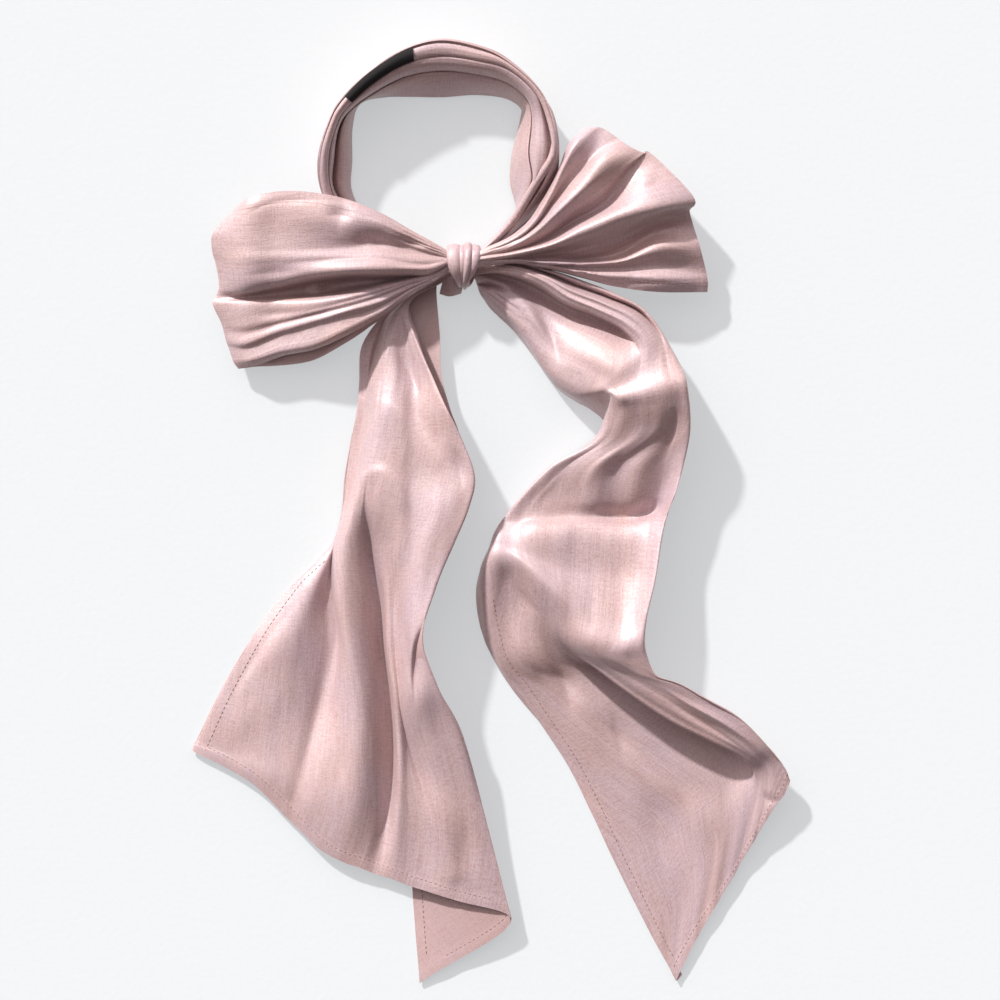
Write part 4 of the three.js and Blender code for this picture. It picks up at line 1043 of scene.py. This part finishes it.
leftLoop = {
    "mirrored": True,           # it runs the other way, which turns its satin side over
    "cells": (230, 164),
    "flat": (0.105, 0.29),
    "gathers": {"count": 13, "near": 10, "far": 55, "height": 0.45, "seed": 8},
    "seed": 48,
    "heart": (-70, 145),
    "drops": (2.2, 4.5, 6.5, 8, 8.5, 8, 7, 5, 4),
    "hemOut": (0, 0, 1.5, 3, 4.5, 6.5, 6.5, 2.5, 0),
    "rails": [
        ("hem", 0), ("roll", 0.035), ("first", 0.1), ("groove", 0.15), ("second", 0.21), ("furrow", 0.26),
        ("third", 0.31), ("lip", 0.36), ("slot", 0.385), ("throat", 0.43), ("upperLip", 0.455),
        ("ridge", 0.55), ("pleat", 0.63), ("peach", 0.69), ("crown", 0.79), ("shoulder", 0.9), ("top", 1),
    ],
    "sections": [
        [
            (-24, 145.4, 20), (-24, 145.7, 20.8), (-24, 146, 21.2), (-24, 146.3, 21.4), (-24, 146.7, 21.8),
            (-24, 147, 21.9), (-24, 147.4, 22.2), (-24, 147.8, 22.4), (-24, 148.1, 22.2),
            (-24, 148.5, 22.3), (-24, 149, 22.8), (-24, 150.2, 23.8), (-24, 151.2, 23.4), (-24, 152, 23.5),
            (-24, 152.8, 23.2), (-24, 153.5, 22), (-24, 154.2, 19.8),
        ],
        [
            (-37, 137, 19.5), (-37, 137.8, 20.8), (-37, 138.5, 21.2), (-36.5, 139.2, 21), (-36, 140, 21.9),
            (-36, 140.6, 21.5), (-36, 141, 22), (-36, 141.5, 21.6), (-36, 141.9, 19), (-36, 142.4, 19.4),
            (-36, 142.9, 24), (-36, 148.5, 26.5), (-36, 153.5, 25), (-36, 156, 26), (-36, 158, 26.5),
            (-36, 160, 25.5), (-36, 161.5, 22.5),
        ],
        [
            (-51, 128.5, 20.5), (-51, 129.8, 22.3), (-50.5, 131, 22.8), (-50, 132.3, 22.2), (-50, 134, 24),
            (-50, 135.6, 23.2), (-50, 137, 23.8), (-50, 139, 22.3), (-50, 140, 15.5), (-50, 141.4, 16),
            (-50, 142.2, 25.5), (-50, 149.5, 29.5), (-50, 157.5, 27), (-50, 160.5, 29), (-50, 164, 30.5),
            (-50, 167, 29), (-50, 169, 25),
        ],
        [
            (-66, 117.5, 21.5), (-66, 119, 24), (-65.5, 120.5, 25.2), (-65, 123.5, 24.8),
            (-65, 126.3, 27.2), (-65, 129, 26.2), (-65, 131.5, 26.8), (-65, 135.4, 24), (-65, 137.4, 13.5),
            (-65, 140.3, 14), (-65, 141.3, 28), (-65, 151.5, 32.5), (-65.5, 159.5, 28.8), (-66, 164, 31.5),
            (-66, 170, 34.5), (-66, 174, 33.5), (-66, 178, 29),
        ],
        [
            (-86, 106, 22.5), (-86, 107.5, 25), (-86, 110.5, 27), (-86, 116, 26.8), (-86, 120, 29.3),
            (-86, 122.5, 28.4), (-86, 125.5, 29), (-86, 130.5, 25.5), (-86, 133, 11), (-86, 140, 12),
            (-86, 141, 28), (-86, 151.5, 32.3), (-86, 158.5, 29.8), (-87, 165, 32), (-88, 173, 34),
            (-88, 181, 33.5), (-88, 187, 31.5),
        ],
        [
            (-106, 97.5, 20), (-106, 99, 22), (-106, 103, 23.3), (-107, 110, 22.6), (-107, 114, 25),
            (-107, 117.5, 24), (-107, 120.5, 25.3), (-107, 128, 22.5), (-107, 130.5, 11), (-106, 137.6, 12),
            (-106, 138.8, 24.5), (-106, 150.5, 31.5), (-106, 158, 30.3), (-107, 166, 30.8),
            (-108, 176, 32.5), (-108.5, 184.5, 32.5), (-109, 190.8, 31.2),
        ],
        [
            (-125, 94, 15), (-126, 95.5, 17), (-127, 98.5, 17.6), (-128, 104.5, 16.8), (-128, 108.5, 19),
            (-128, 112.5, 18.2), (-128, 116.5, 19.8), (-129, 127, 18.8), (-129, 129, 13.5),
            (-128, 132.8, 14), (-128, 134.4, 21.5), (-128, 149.5, 28.6), (-128, 157.5, 28.2),
            (-128, 166, 28), (-128, 176, 28.8), (-128, 184.5, 29.4), (-128, 191, 28.4),
        ],
        [
            (-143, 88, 11.5), (-144, 90, 13.8), (-145.5, 92.5, 15), (-147, 98, 14.6), (-148, 101.5, 16.4),
            (-148.5, 107.5, 15.8), (-149, 113, 17.4), (-150, 126, 17.6), (-150, 127.8, 15),
            (-150, 130, 15.4), (-149, 131.5, 20), (-149, 149, 26.2), (-149, 157, 26.4), (-149, 164, 26.4),
            (-147.5, 173, 26.8), (-146, 181, 26.4), (-145, 187, 24.5),
        ],
        [
            (-151, 86.5, 8.5), (-153, 89, 9.3), (-155, 93, 9.8), (-157, 99, 9.8), (-158.5, 103, 10.2),
            (-160, 109, 10.4), (-161.5, 114, 10.8), (-166.5, 125.5, 11.5), (-165.5, 127.8, 11.2),
            (-163.8, 131, 11.5), (-162.8, 133.5, 12.2), (-164.5, 149, 14), (-166.5, 156, 15),
            (-167, 163, 16), (-164, 170, 17), (-157.5, 177, 17.8), (-150, 184, 18),
        ],
    ],
    "folds": [
        ([(-34, 158), (-46, 160.5), (-60, 165)], -2.4, 1.6, 4, 1, 1),
        ([(-76, 163), (-72, 164), (-68, 163)], -2, 5, 5, 0, 0),
        ([(-100, 176), (-90, 177), (-80, 174)], -2.4, 8, 5, 1, 1),
        ([(-80, 183), (-105, 186), (-135, 183), (-152, 172)], -0.8, 3, 3, 1, 1),
        ([(-40, 147), (-70, 148), (-110, 146)], 0.8, 3, 3, 1, 1),
        ([(-112, 132), (-104, 134.6), (-96, 135.6)], 4, 2.4, 2.4, 1, 1),
        ([(-146, 118), (-128, 119), (-110, 121)], -1.2, 3, 3, 1, 1),
        ([(-148, 141), (-130, 143), (-108, 144)], -1.2, 4, 4, 1, 1),
    ],
}


def loopPoints(loop, us, vs):
    reach = np.where(us < 0.5, us * 2, 2 - us * 2)
    front = sheetPoints(loop, reach, vs)
    plain = sheetPoints(loop, reach, vs, False)

    def alongReach(values):
        values = np.array(values, float)[:, None]
        return curveThrough(values, np.linspace(0, 1, len(values)))(reach)

    back = (us > 0.5)[:, None, None]
    fromBend = ease((1 - reach) / loopShape["bendShare"])[:, None, None]
    below = front + (plain - front) * loopShape["backCalm"] * fromBend
    below[..., 2] = np.maximum(below[..., 2] - alongReach(loop["drops"]) * fromBend[..., 0], drawing["rest"])
    heart = np.array(loop["heart"], float)
    below[..., :2] += (heart - below[..., :2]) * fromBend * loopShape["backTuck"]
    nearHem = ease(1 - vs / loopShape["hemShare"])[None, :]
    below[..., 1] -= alongReach(loop["hemOut"]) * nearHem * fromBend[..., 0]
    return np.where(back, below, front)


def makeLoop(name, node, loop):
    nu, nv = loop["cells"]
    us, vs = np.linspace(0, 1, nu + 1), np.linspace(0, 1, nv + 1)
    points = gathers(loopPoints(loop, us, vs), vs, loop["gathers"])
    calm = calmNear(us, (0.5,), loopShape["calm"])[:, None]
    points = crumple(points, loop["seed"], loopShape["crumple"] * calm)
    thickness = hemThickness(points, ("low", "high"))
    sides = [satinBack, satin] if loop["mirrored"] else [satin, satinBack]
    piece = makePiece(name + "Satin", [walledCloth(points, thickness)], sides)
    dress(piece, node)
    first, last = [int(nu * share) for share in loopShape["stitched"]]
    stitches = makeStitches(name + "Stitches", [lineInside(points, range(first, last), 0, hem["width"])])
    print(name, "made")


# Neck band: stations round the ring from the knot's right mouth to its left one. Each has the rim, the lips
# of the two laps below it, the foot on the neck's side, and the gaps: how wide below the upper and the lower
# lip, and how deep.
neckBand = {
    "cells": (330, 142),
    "flat": (0.07, 0.42),
    "seed": 71,
    "outerFoot": 0.22,              # how far the outer wall's foot is drawn under the rim
    "outerFootHeight": 2.5,
    "outerBulge": (0.3, 0.3, 0.1),
    "undercut": 0.7,                # how far a lap's cloth goes back under its lip
    "ledgeRise": 0.6,
    "fullDepth": 5,                 # depth of the gaps at which the laps have their full swell
    "lowerLap": ((0.35, 2.6), (0.72, 2.8)),     # share of the way over the lap, and how far it swells there
    "middleLap": ((-0.04, 1.6), (0.3, 3.8), (0.72, 2.6)),
    "upperLap": ((-0.04, 1.4), (0.36, 2.8), (0.74, 1.3), (0.84, -0.5), (1, 0.4)),
    "stations": [
        [(-9, 153.2, 8.5), (-9, 152.4, 8.4), (-9, 151.6, 8), (-9, 150.8, 6), (0.2, 0.2, 0.6)],
        [(6, 161.5, 6), (5, 162.5, 8.5), (3, 162.5, 8), (0.5, 161.5, 3), (0.4, 0.4, 2)],
        [(17.5, 170.5, 6), (14.5, 173, 12.5), (12, 174.5, 12), (9, 174.5, 3), (0.8, 0.6, 3)],
        [(29, 181, 7), (23, 184, 16.5), (19, 184.5, 15), (14, 182, 3), (1.2, 0.8, 5)],
        [(37.5, 196, 12), (32, 198.5, 22), (24.5, 199, 22), (11.4, 198, 3), (2.4, 1.2, 7)],
        [(39.8, 214, 26), (36.8, 214.5, 28), (22.8, 215, 21), (12.5, 215, 3), (4.8, 1.3, 8)],
        [(37.3, 233, 28), (33.4, 234.3, 27), (24.5, 235.5, 19), (17.6, 236, 4), (3.4, 1.4, 8)],
        [(28.3, 252, 29), (26, 250.3, 27), (21.3, 247.5, 20), (17.5, 243, 5), (1.2, 1.8, 8)],
        [(10, 269, 29.5), (9.5, 264.3, 27), (9, 258, 19), (8, 249, 3), (1, 2, 8)],
        [(-6, 277, 29.5), (-8, 269.3, 27), (-9, 262.7, 19), (-10, 251, 3), (1, 2.2, 8)],
        [(-30, 281.5, 29.5), (-30, 272, 26.5), (-30, 264.5, 19), (-30, 249.3, 3), (1, 2, 8)],
        [(-52, 275.5, 29.5), (-51, 267.5, 26.5), (-50, 261, 19), (-49, 249, 3), (0.8, 1.2, 6)],
        [(-74, 261.3, 29), (-70, 256.3, 26), (-67, 253, 18.5), (-64, 248.2, 3), (0.8, 1.2, 5)],
        [(-90, 245, 28), (-86, 241.8, 25), (-82.5, 242, 18), (-78, 244.5, 3), (0.8, 1.4, 6)],
        [(-97, 232, 27), (-92.5, 231, 24), (-90.5, 231, 18), (-82.7, 232, 3), (1, 2.8, 8)],
        [(-102.5, 212, 25), (-97.7, 212, 22), (-94, 212, 18), (-84, 212, 3), (1.2, 5.4, 9)],
        [(-100.5, 192, 19), (-96.5, 192, 17.5), (-94, 193, 14), (-85, 193.5, 3), (1, 4.6, 8)],
        [(-88, 170, 12), (-84, 172, 11.5), (-79.5, 174.5, 9), (-75, 177, 2), (0.8, 1, 3)],
        [(-61, 154, 9), (-59, 157, 9.5), (-56, 160, 8), (-53, 163, 2), (0.6, 0.6, 2)],
        [(-36.5, 150, 7), (-36, 151.4, 7.5), (-35.5, 153, 7), (-35, 154.5, 3), (0.3, 0.3, 1)],
        [(-25, 150, 7), (-25, 151, 8), (-25, 152, 7.5), (-25, 153, 6), (0.2, 0.2, 0.6)],
    ],
    "strap": [      # the narrow fold that crosses the band on the right: its middle, and half its width
        (30.5, 247.5, 29.2, 0.5), (34.8, 240, 29.2, 1), (37.2, 231, 29, 1.5), (37.6, 220, 29.4, 2),
        (35.4, 210.5, 29.2, 2.3), (30.4, 202.5, 27, 2.4), (24.8, 194, 24, 2.4), (19.6, 185, 20.5, 2.4),
        (14.6, 177, 16.5, 2.3), (8, 169.4, 12.5, 2.1), (0, 161.6, 10.5, 1.8), (-7, 156, 9.5, 1.4),
    ],
    "strapRise": 2.8,
    "strapSink": 0.6,               # share of the rise that is sunk into the band
    "strapWrap": 1.15,              # how far it wraps to each side, in quarter turns
    "strapCells": (140, 14),
    "strapSeed": 75,
    "strapCrumple": 0.5,
    "labelRound": (0.538, 0.64),    # where the label starts and ends round the ring,
    "labelAcross": (0.64, 0.8),     # and across it
    "labelPoints": (70, 24),
    "labelWall": 0.5,
    "labelOut": 0.85,               # from the middle of the band's cloth
}


def bandPoints(us, vs):
    stations = np.array(neckBand["stations"], float)
    count = len(stations) - 1
    at = us * count
    numbers = np.arange(count + 1)
    rim, upper, lower, foot, gaps = [curveThrough(stations[:, k], numbers)(at) for k in range(5)]
    swell = ease(gaps[:, 2] / neckBand["fullDepth"])

    def between(a, b, share, rise):
        point = a + (b - a) * share
        point[:, 2] += rise * swell
        return point

    def lap(a, b, name):
        return [between(a, b, share, rise) for share, rise in neckBand[name]]

    def ledge(lip, below, gap):
        # where the cloth below a lip ends, and the throat under the lip
        way = (below - lip)[:, :2]
        way = way / np.linalg.norm(way, axis=1, keepdims=True)
        share = gap / np.linalg.norm(below - lip, axis=1)[:, None]
        end = between(lip, below, share, neckBand["ledgeRise"])
        throat = lip.copy()
        throat[:, :2] -= way * neckBand["undercut"] * swell[:, None]
        throat[:, 2] -= gaps[:, 2]
        return end, throat

    lowerEnd, lowerThroat = ledge(lower, foot, gaps[:, 1:2])
    upperEnd, upperThroat = ledge(upper, lower, gaps[:, :1])
    outerFoot = rim + (foot - rim) * neckBand["outerFoot"]
    outerFoot[:, 2] = np.minimum(outerFoot[:, 2], neckBand["outerFootHeight"])
    rows = [
        foot,
        *lap(foot, lowerEnd, "lowerLap"),
        lowerEnd,
        lowerThroat,
        *lap(lower, upperEnd, "middleLap"),
        upperEnd,
        upperThroat,
        *lap(upper, rim, "upperLap"),
        (rim + outerFoot) / 2 + (rim - outerFoot) * neckBand["outerBulge"],
        outerFoot,
    ]
    rows = np.stack(rows)
    points = curveThrough(rows.reshape(len(rows), -1), np.linspace(0, 1, len(rows)))(vs)
    return points.reshape(len(vs), len(us), 3).transpose(1, 0, 2)


def strapPoints():
    nu, nv = neckBand["strapCells"]
    track = curveThrough(neckBand["strap"])(np.linspace(0, 1, nu + 1))
    middle, half = track[:, :3], track[:, 3]
    run = np.gradient(middle[:, :2], axis=0)
    run = run / np.linalg.norm(run, axis=1, keepdims=True)
    side = np.stack([-run[:, 1], run[:, 0], np.zeros(nu + 1)], 1)
    turn = np.linspace(-neckBand["strapWrap"], neckBand["strapWrap"], nv + 1) * math.pi / 2
    across = side[:, None] * (np.sin(turn)[None, :] * half[:, None])[..., None]
    rise = np.cos(turn) * neckBand["strapRise"] - neckBand["strapRise"] * neckBand["strapSink"]
    return middle[:, None] + across + np.stack([rise * 0, rise * 0, rise], 1)[None]


def makeNeckLabel():
    around, across = neckBand["labelPoints"]
    us, vs = np.linspace(*neckBand["labelRound"], around), np.linspace(*neckBand["labelAcross"], across)
    points = bandPoints(us, vs)
    points = points - normalsOf(points) * neckBand["labelOut"]
    label = makePiece("labelWeave", [walledCloth(points, neckBand["labelWall"])], [labelCloth])
    dress(label, "neck_label")
    return label


def makeNeckBand():
    nu, nv = neckBand["cells"]
    points = crumple(bandPoints(np.linspace(0, 1, nu + 1), np.linspace(1, 0, nv + 1)), neckBand["seed"])
    strap = crumple(strapPoints(), neckBand["strapSeed"], neckBand["strapCrumple"])
    parts = [walledCloth(points, drawing["wall"]), walledCloth(strap, drawing["wall"])]
    piece = makePiece("bandSatin", parts, [satin, satinBack])
    dress(piece, "neck_band")
    label = makeNeckLabel()
    print("neck band made")


# Knot: strands wrapped round the gathered cloth, drawn together at the lower front.
knot = {
    "cells": (120, 100),
    "flat": (0.02, 0.075),
    "wall": 0.9,
    "strands": [(0, 0.39, 1.5), (0.39, 0.54, 0.8), (0.54, 0.76, 2.5), (0.76, 1, 1.3)],  # from, to, height
    "roundness": 2.4,       # 2 is a round strand, more has a flatter top
    "edgeSharpness": 0.6,
    "centre": (148, 13.5),  # y and z
    "swell": 0.6,           # how much thicker the whole knot is at its middle
    "turns": (0, 0.1, 0.2, 0.3, 0.38, 0.5, 0.62, 0.75, 0.88, 1),    # share of the way round
    "ring": [   # y, z, left and right end at each turn
        (158.4, 19, -26.6, -7),
        (153, 24, -26.4, -7.2),
        (145, 24, -24.8, -9.2),
        (138.5, 18.5, -21, -13.6),
        (137, 13, -20, -14),
        (138, 6, -22, -12),
        (143, 1.9, -24, -10),
        (151, 1.9, -25, -9),
        (158, 7, -26, -8),
        (158.4, 19, -26.6, -7),
    ],
}


def makeKnot():
    nu, nv = knot["cells"]
    us, vs = np.linspace(0, 1, nu + 1)[:, None], np.arange(nv) / nv
    y, z, left, right = curveThrough(knot["ring"], knot["turns"])(vs).T
    bulge = knot["swell"] * np.sin(math.pi * us)
    for start, end, height in knot["strands"]:
        across = np.clip(np.abs((us - start) / (end - start) * 2 - 1), 0, 1)
        bulge = bulge + height * (1 - across ** knot["roundness"]) ** knot["edgeSharpness"]
    out = np.stack([y - knot["centre"][0], z - knot["centre"][1]])
    out = out / np.linalg.norm(out, axis=0)
    points = np.stack([left + (right - left) * us, y + out[0] * bulge, z + out[1] * bulge], 2)
    points[..., 2] = np.maximum(points[..., 2], drawing["rest"])
    piece = makePiece("knotSatin", [walledCloth(points, knot["wall"], True)], [satinBack, satin])
    dress(piece, "knot")
    print("knot made")


# Short end folded under, below the knot
underFold = {
    "cells": (40, 50),
    "flat": (0.015, 0.01),
    "wall": 0.9,
    "rails": [("left", 0), ("middle", 0.5), ("right", 1)],
    "sections": [
        [(-27.5, 141.5, 8), (-23.5, 140.5, 11), (-19, 139.5, 9)],
        [(-29.5, 137, 6.5), (-24, 136, 9.5), (-17.5, 135.8, 7.5)],
        [(-31, 131.5, 3), (-25, 130, 5), (-18.3, 131.8, 4)],
    ],
}


def makeUnderFold():
    nu, nv = underFold["cells"]
    points = sheetPoints(underFold, np.linspace(0, 1, nu + 1), np.linspace(0, 1, nv + 1))
    piece = makePiece("underFoldSatin", [walledCloth(points, underFold["wall"])], [satin, satinBack])
    dress(piece, "knot_under_fold")
    print("under fold made")


makeTail("leftTail", "tail_left", leftTail)
makeTail("rightTail", "tail_right", rightTail)
makeLoop("rightLoop", "bow_loop_right", rightLoop)
makeLoop("leftLoop", "bow_loop_left", leftLoop)
makeNeckBand()
makeKnot()
makeUnderFold()


# Floor and light

studio = {
    "floorReach": 4,                # metres from its middle to its edge
    "floor": (0.36, 0.36, 0.36, 1),
    "floorTooth": (0.345, 0.345, 0.347, 1),
    "toothScale": 300.0,
    "toothHeight": 0.1,             # millimetres
    "floorRoughness": 0.8,
    "floorSpecular": 0.2,
    "paintedFloorGlow": (0.93, 0.975, 1.0, 1),     # painted glow: the floor gives out even light of its own, which lightens the shadows cast on it
    "paintedGlowStrength": 0.475,
    "sunFrom": (-0.55, 0.835),      # seen from above
    "sunHeight": 28,                # degrees above the floor
    "sun": (0.97, 0.995, 0.985),
    "sunStrength": 5.1,
    "sunWidth": 3,                  # degrees
    "sky": (1.0, 0.91, 0.92),
    "skyStrength": 0.5,             # its mean
    "skyLean": (-0.4, 1.02, 0.05),  # how much brighter the sky is towards each axis
    "skyLeast": 0.05,
}


def makeFloor():
    mesh = bpy.data.meshes.new("floor")
    size = studio["floorReach"]
    corners = [(-size, -size, 0), (size, -size, 0), (size, size, 0), (-size, size, 0)]
    mesh.from_pydata(corners, [], [(0, 1, 2, 3)])
    floor = bpy.data.objects.new("floor", mesh)
    scene.collection.objects.link(floor)
    material, tree, shader = newMaterial("paper", studio["floor"])
    place = addNode(tree, "ShaderNodeTexCoord", out="Object")
    values = {"Vector": place, "Scale": studio["toothScale"], "Detail": 3.0}
    tooth = addNode(tree, "ShaderNodeTexNoise", {}, values)
    setSockets(tree, shader, {
        "Base Color": mixColours(tree, tooth, studio["floor"], studio["floorTooth"]),
        "Normal": bumpFrom(tree, tooth, studio["toothHeight"]),
        "Roughness": studio["floorRoughness"],
        "Specular IOR Level": studio["floorSpecular"],
        # painted glow of the floor, which lightens the shadows on it and lights the cloth a little from below
        "Emission Color": studio["paintedFloorGlow"],
        "Emission Strength": studio["paintedGlowStrength"],
    })
    mesh.materials.append(material)


def makeLight():
    world = bpy.data.worlds.new("sky")
    world.use_nodes = True
    tree = world.node_tree
    toSky = addNode(tree, "ShaderNodeTexCoord", out="Generated")
    values = {0: toSky, 1: studio["skyLean"]}
    lean = addNode(tree, "ShaderNodeVectorMath", {"operation": "DOT_PRODUCT"}, values, "Value")
    values = {0: lean + studio["skyStrength"], 1: studio["skyLeast"]}
    level = addNode(tree, "ShaderNodeMath", {"operation": "MAXIMUM"}, values)
    setSockets(tree, tree.nodes["Background"], {"Strength": level, "Color": (*studio["sky"], 1)})
    scene.world = world
    data = bpy.data.lights.new("sun", "SUN")
    data.energy = studio["sunStrength"]
    data.angle = math.radians(studio["sunWidth"])
    data.color = studio["sun"]
    sun = bpy.data.objects.new("sun", data)
    height = math.radians(studio["sunHeight"])
    x, y = studio["sunFrom"]
    toSun = Vector((x * math.cos(height), y * math.cos(height), math.sin(height)))
    sun.rotation_euler = toSun.to_track_quat("Z", "Y").to_euler()
    scene.collection.objects.link(sun)
    scene.view_settings.view_transform = "Standard"


makeFloor()
makeLight()
print("studio made")
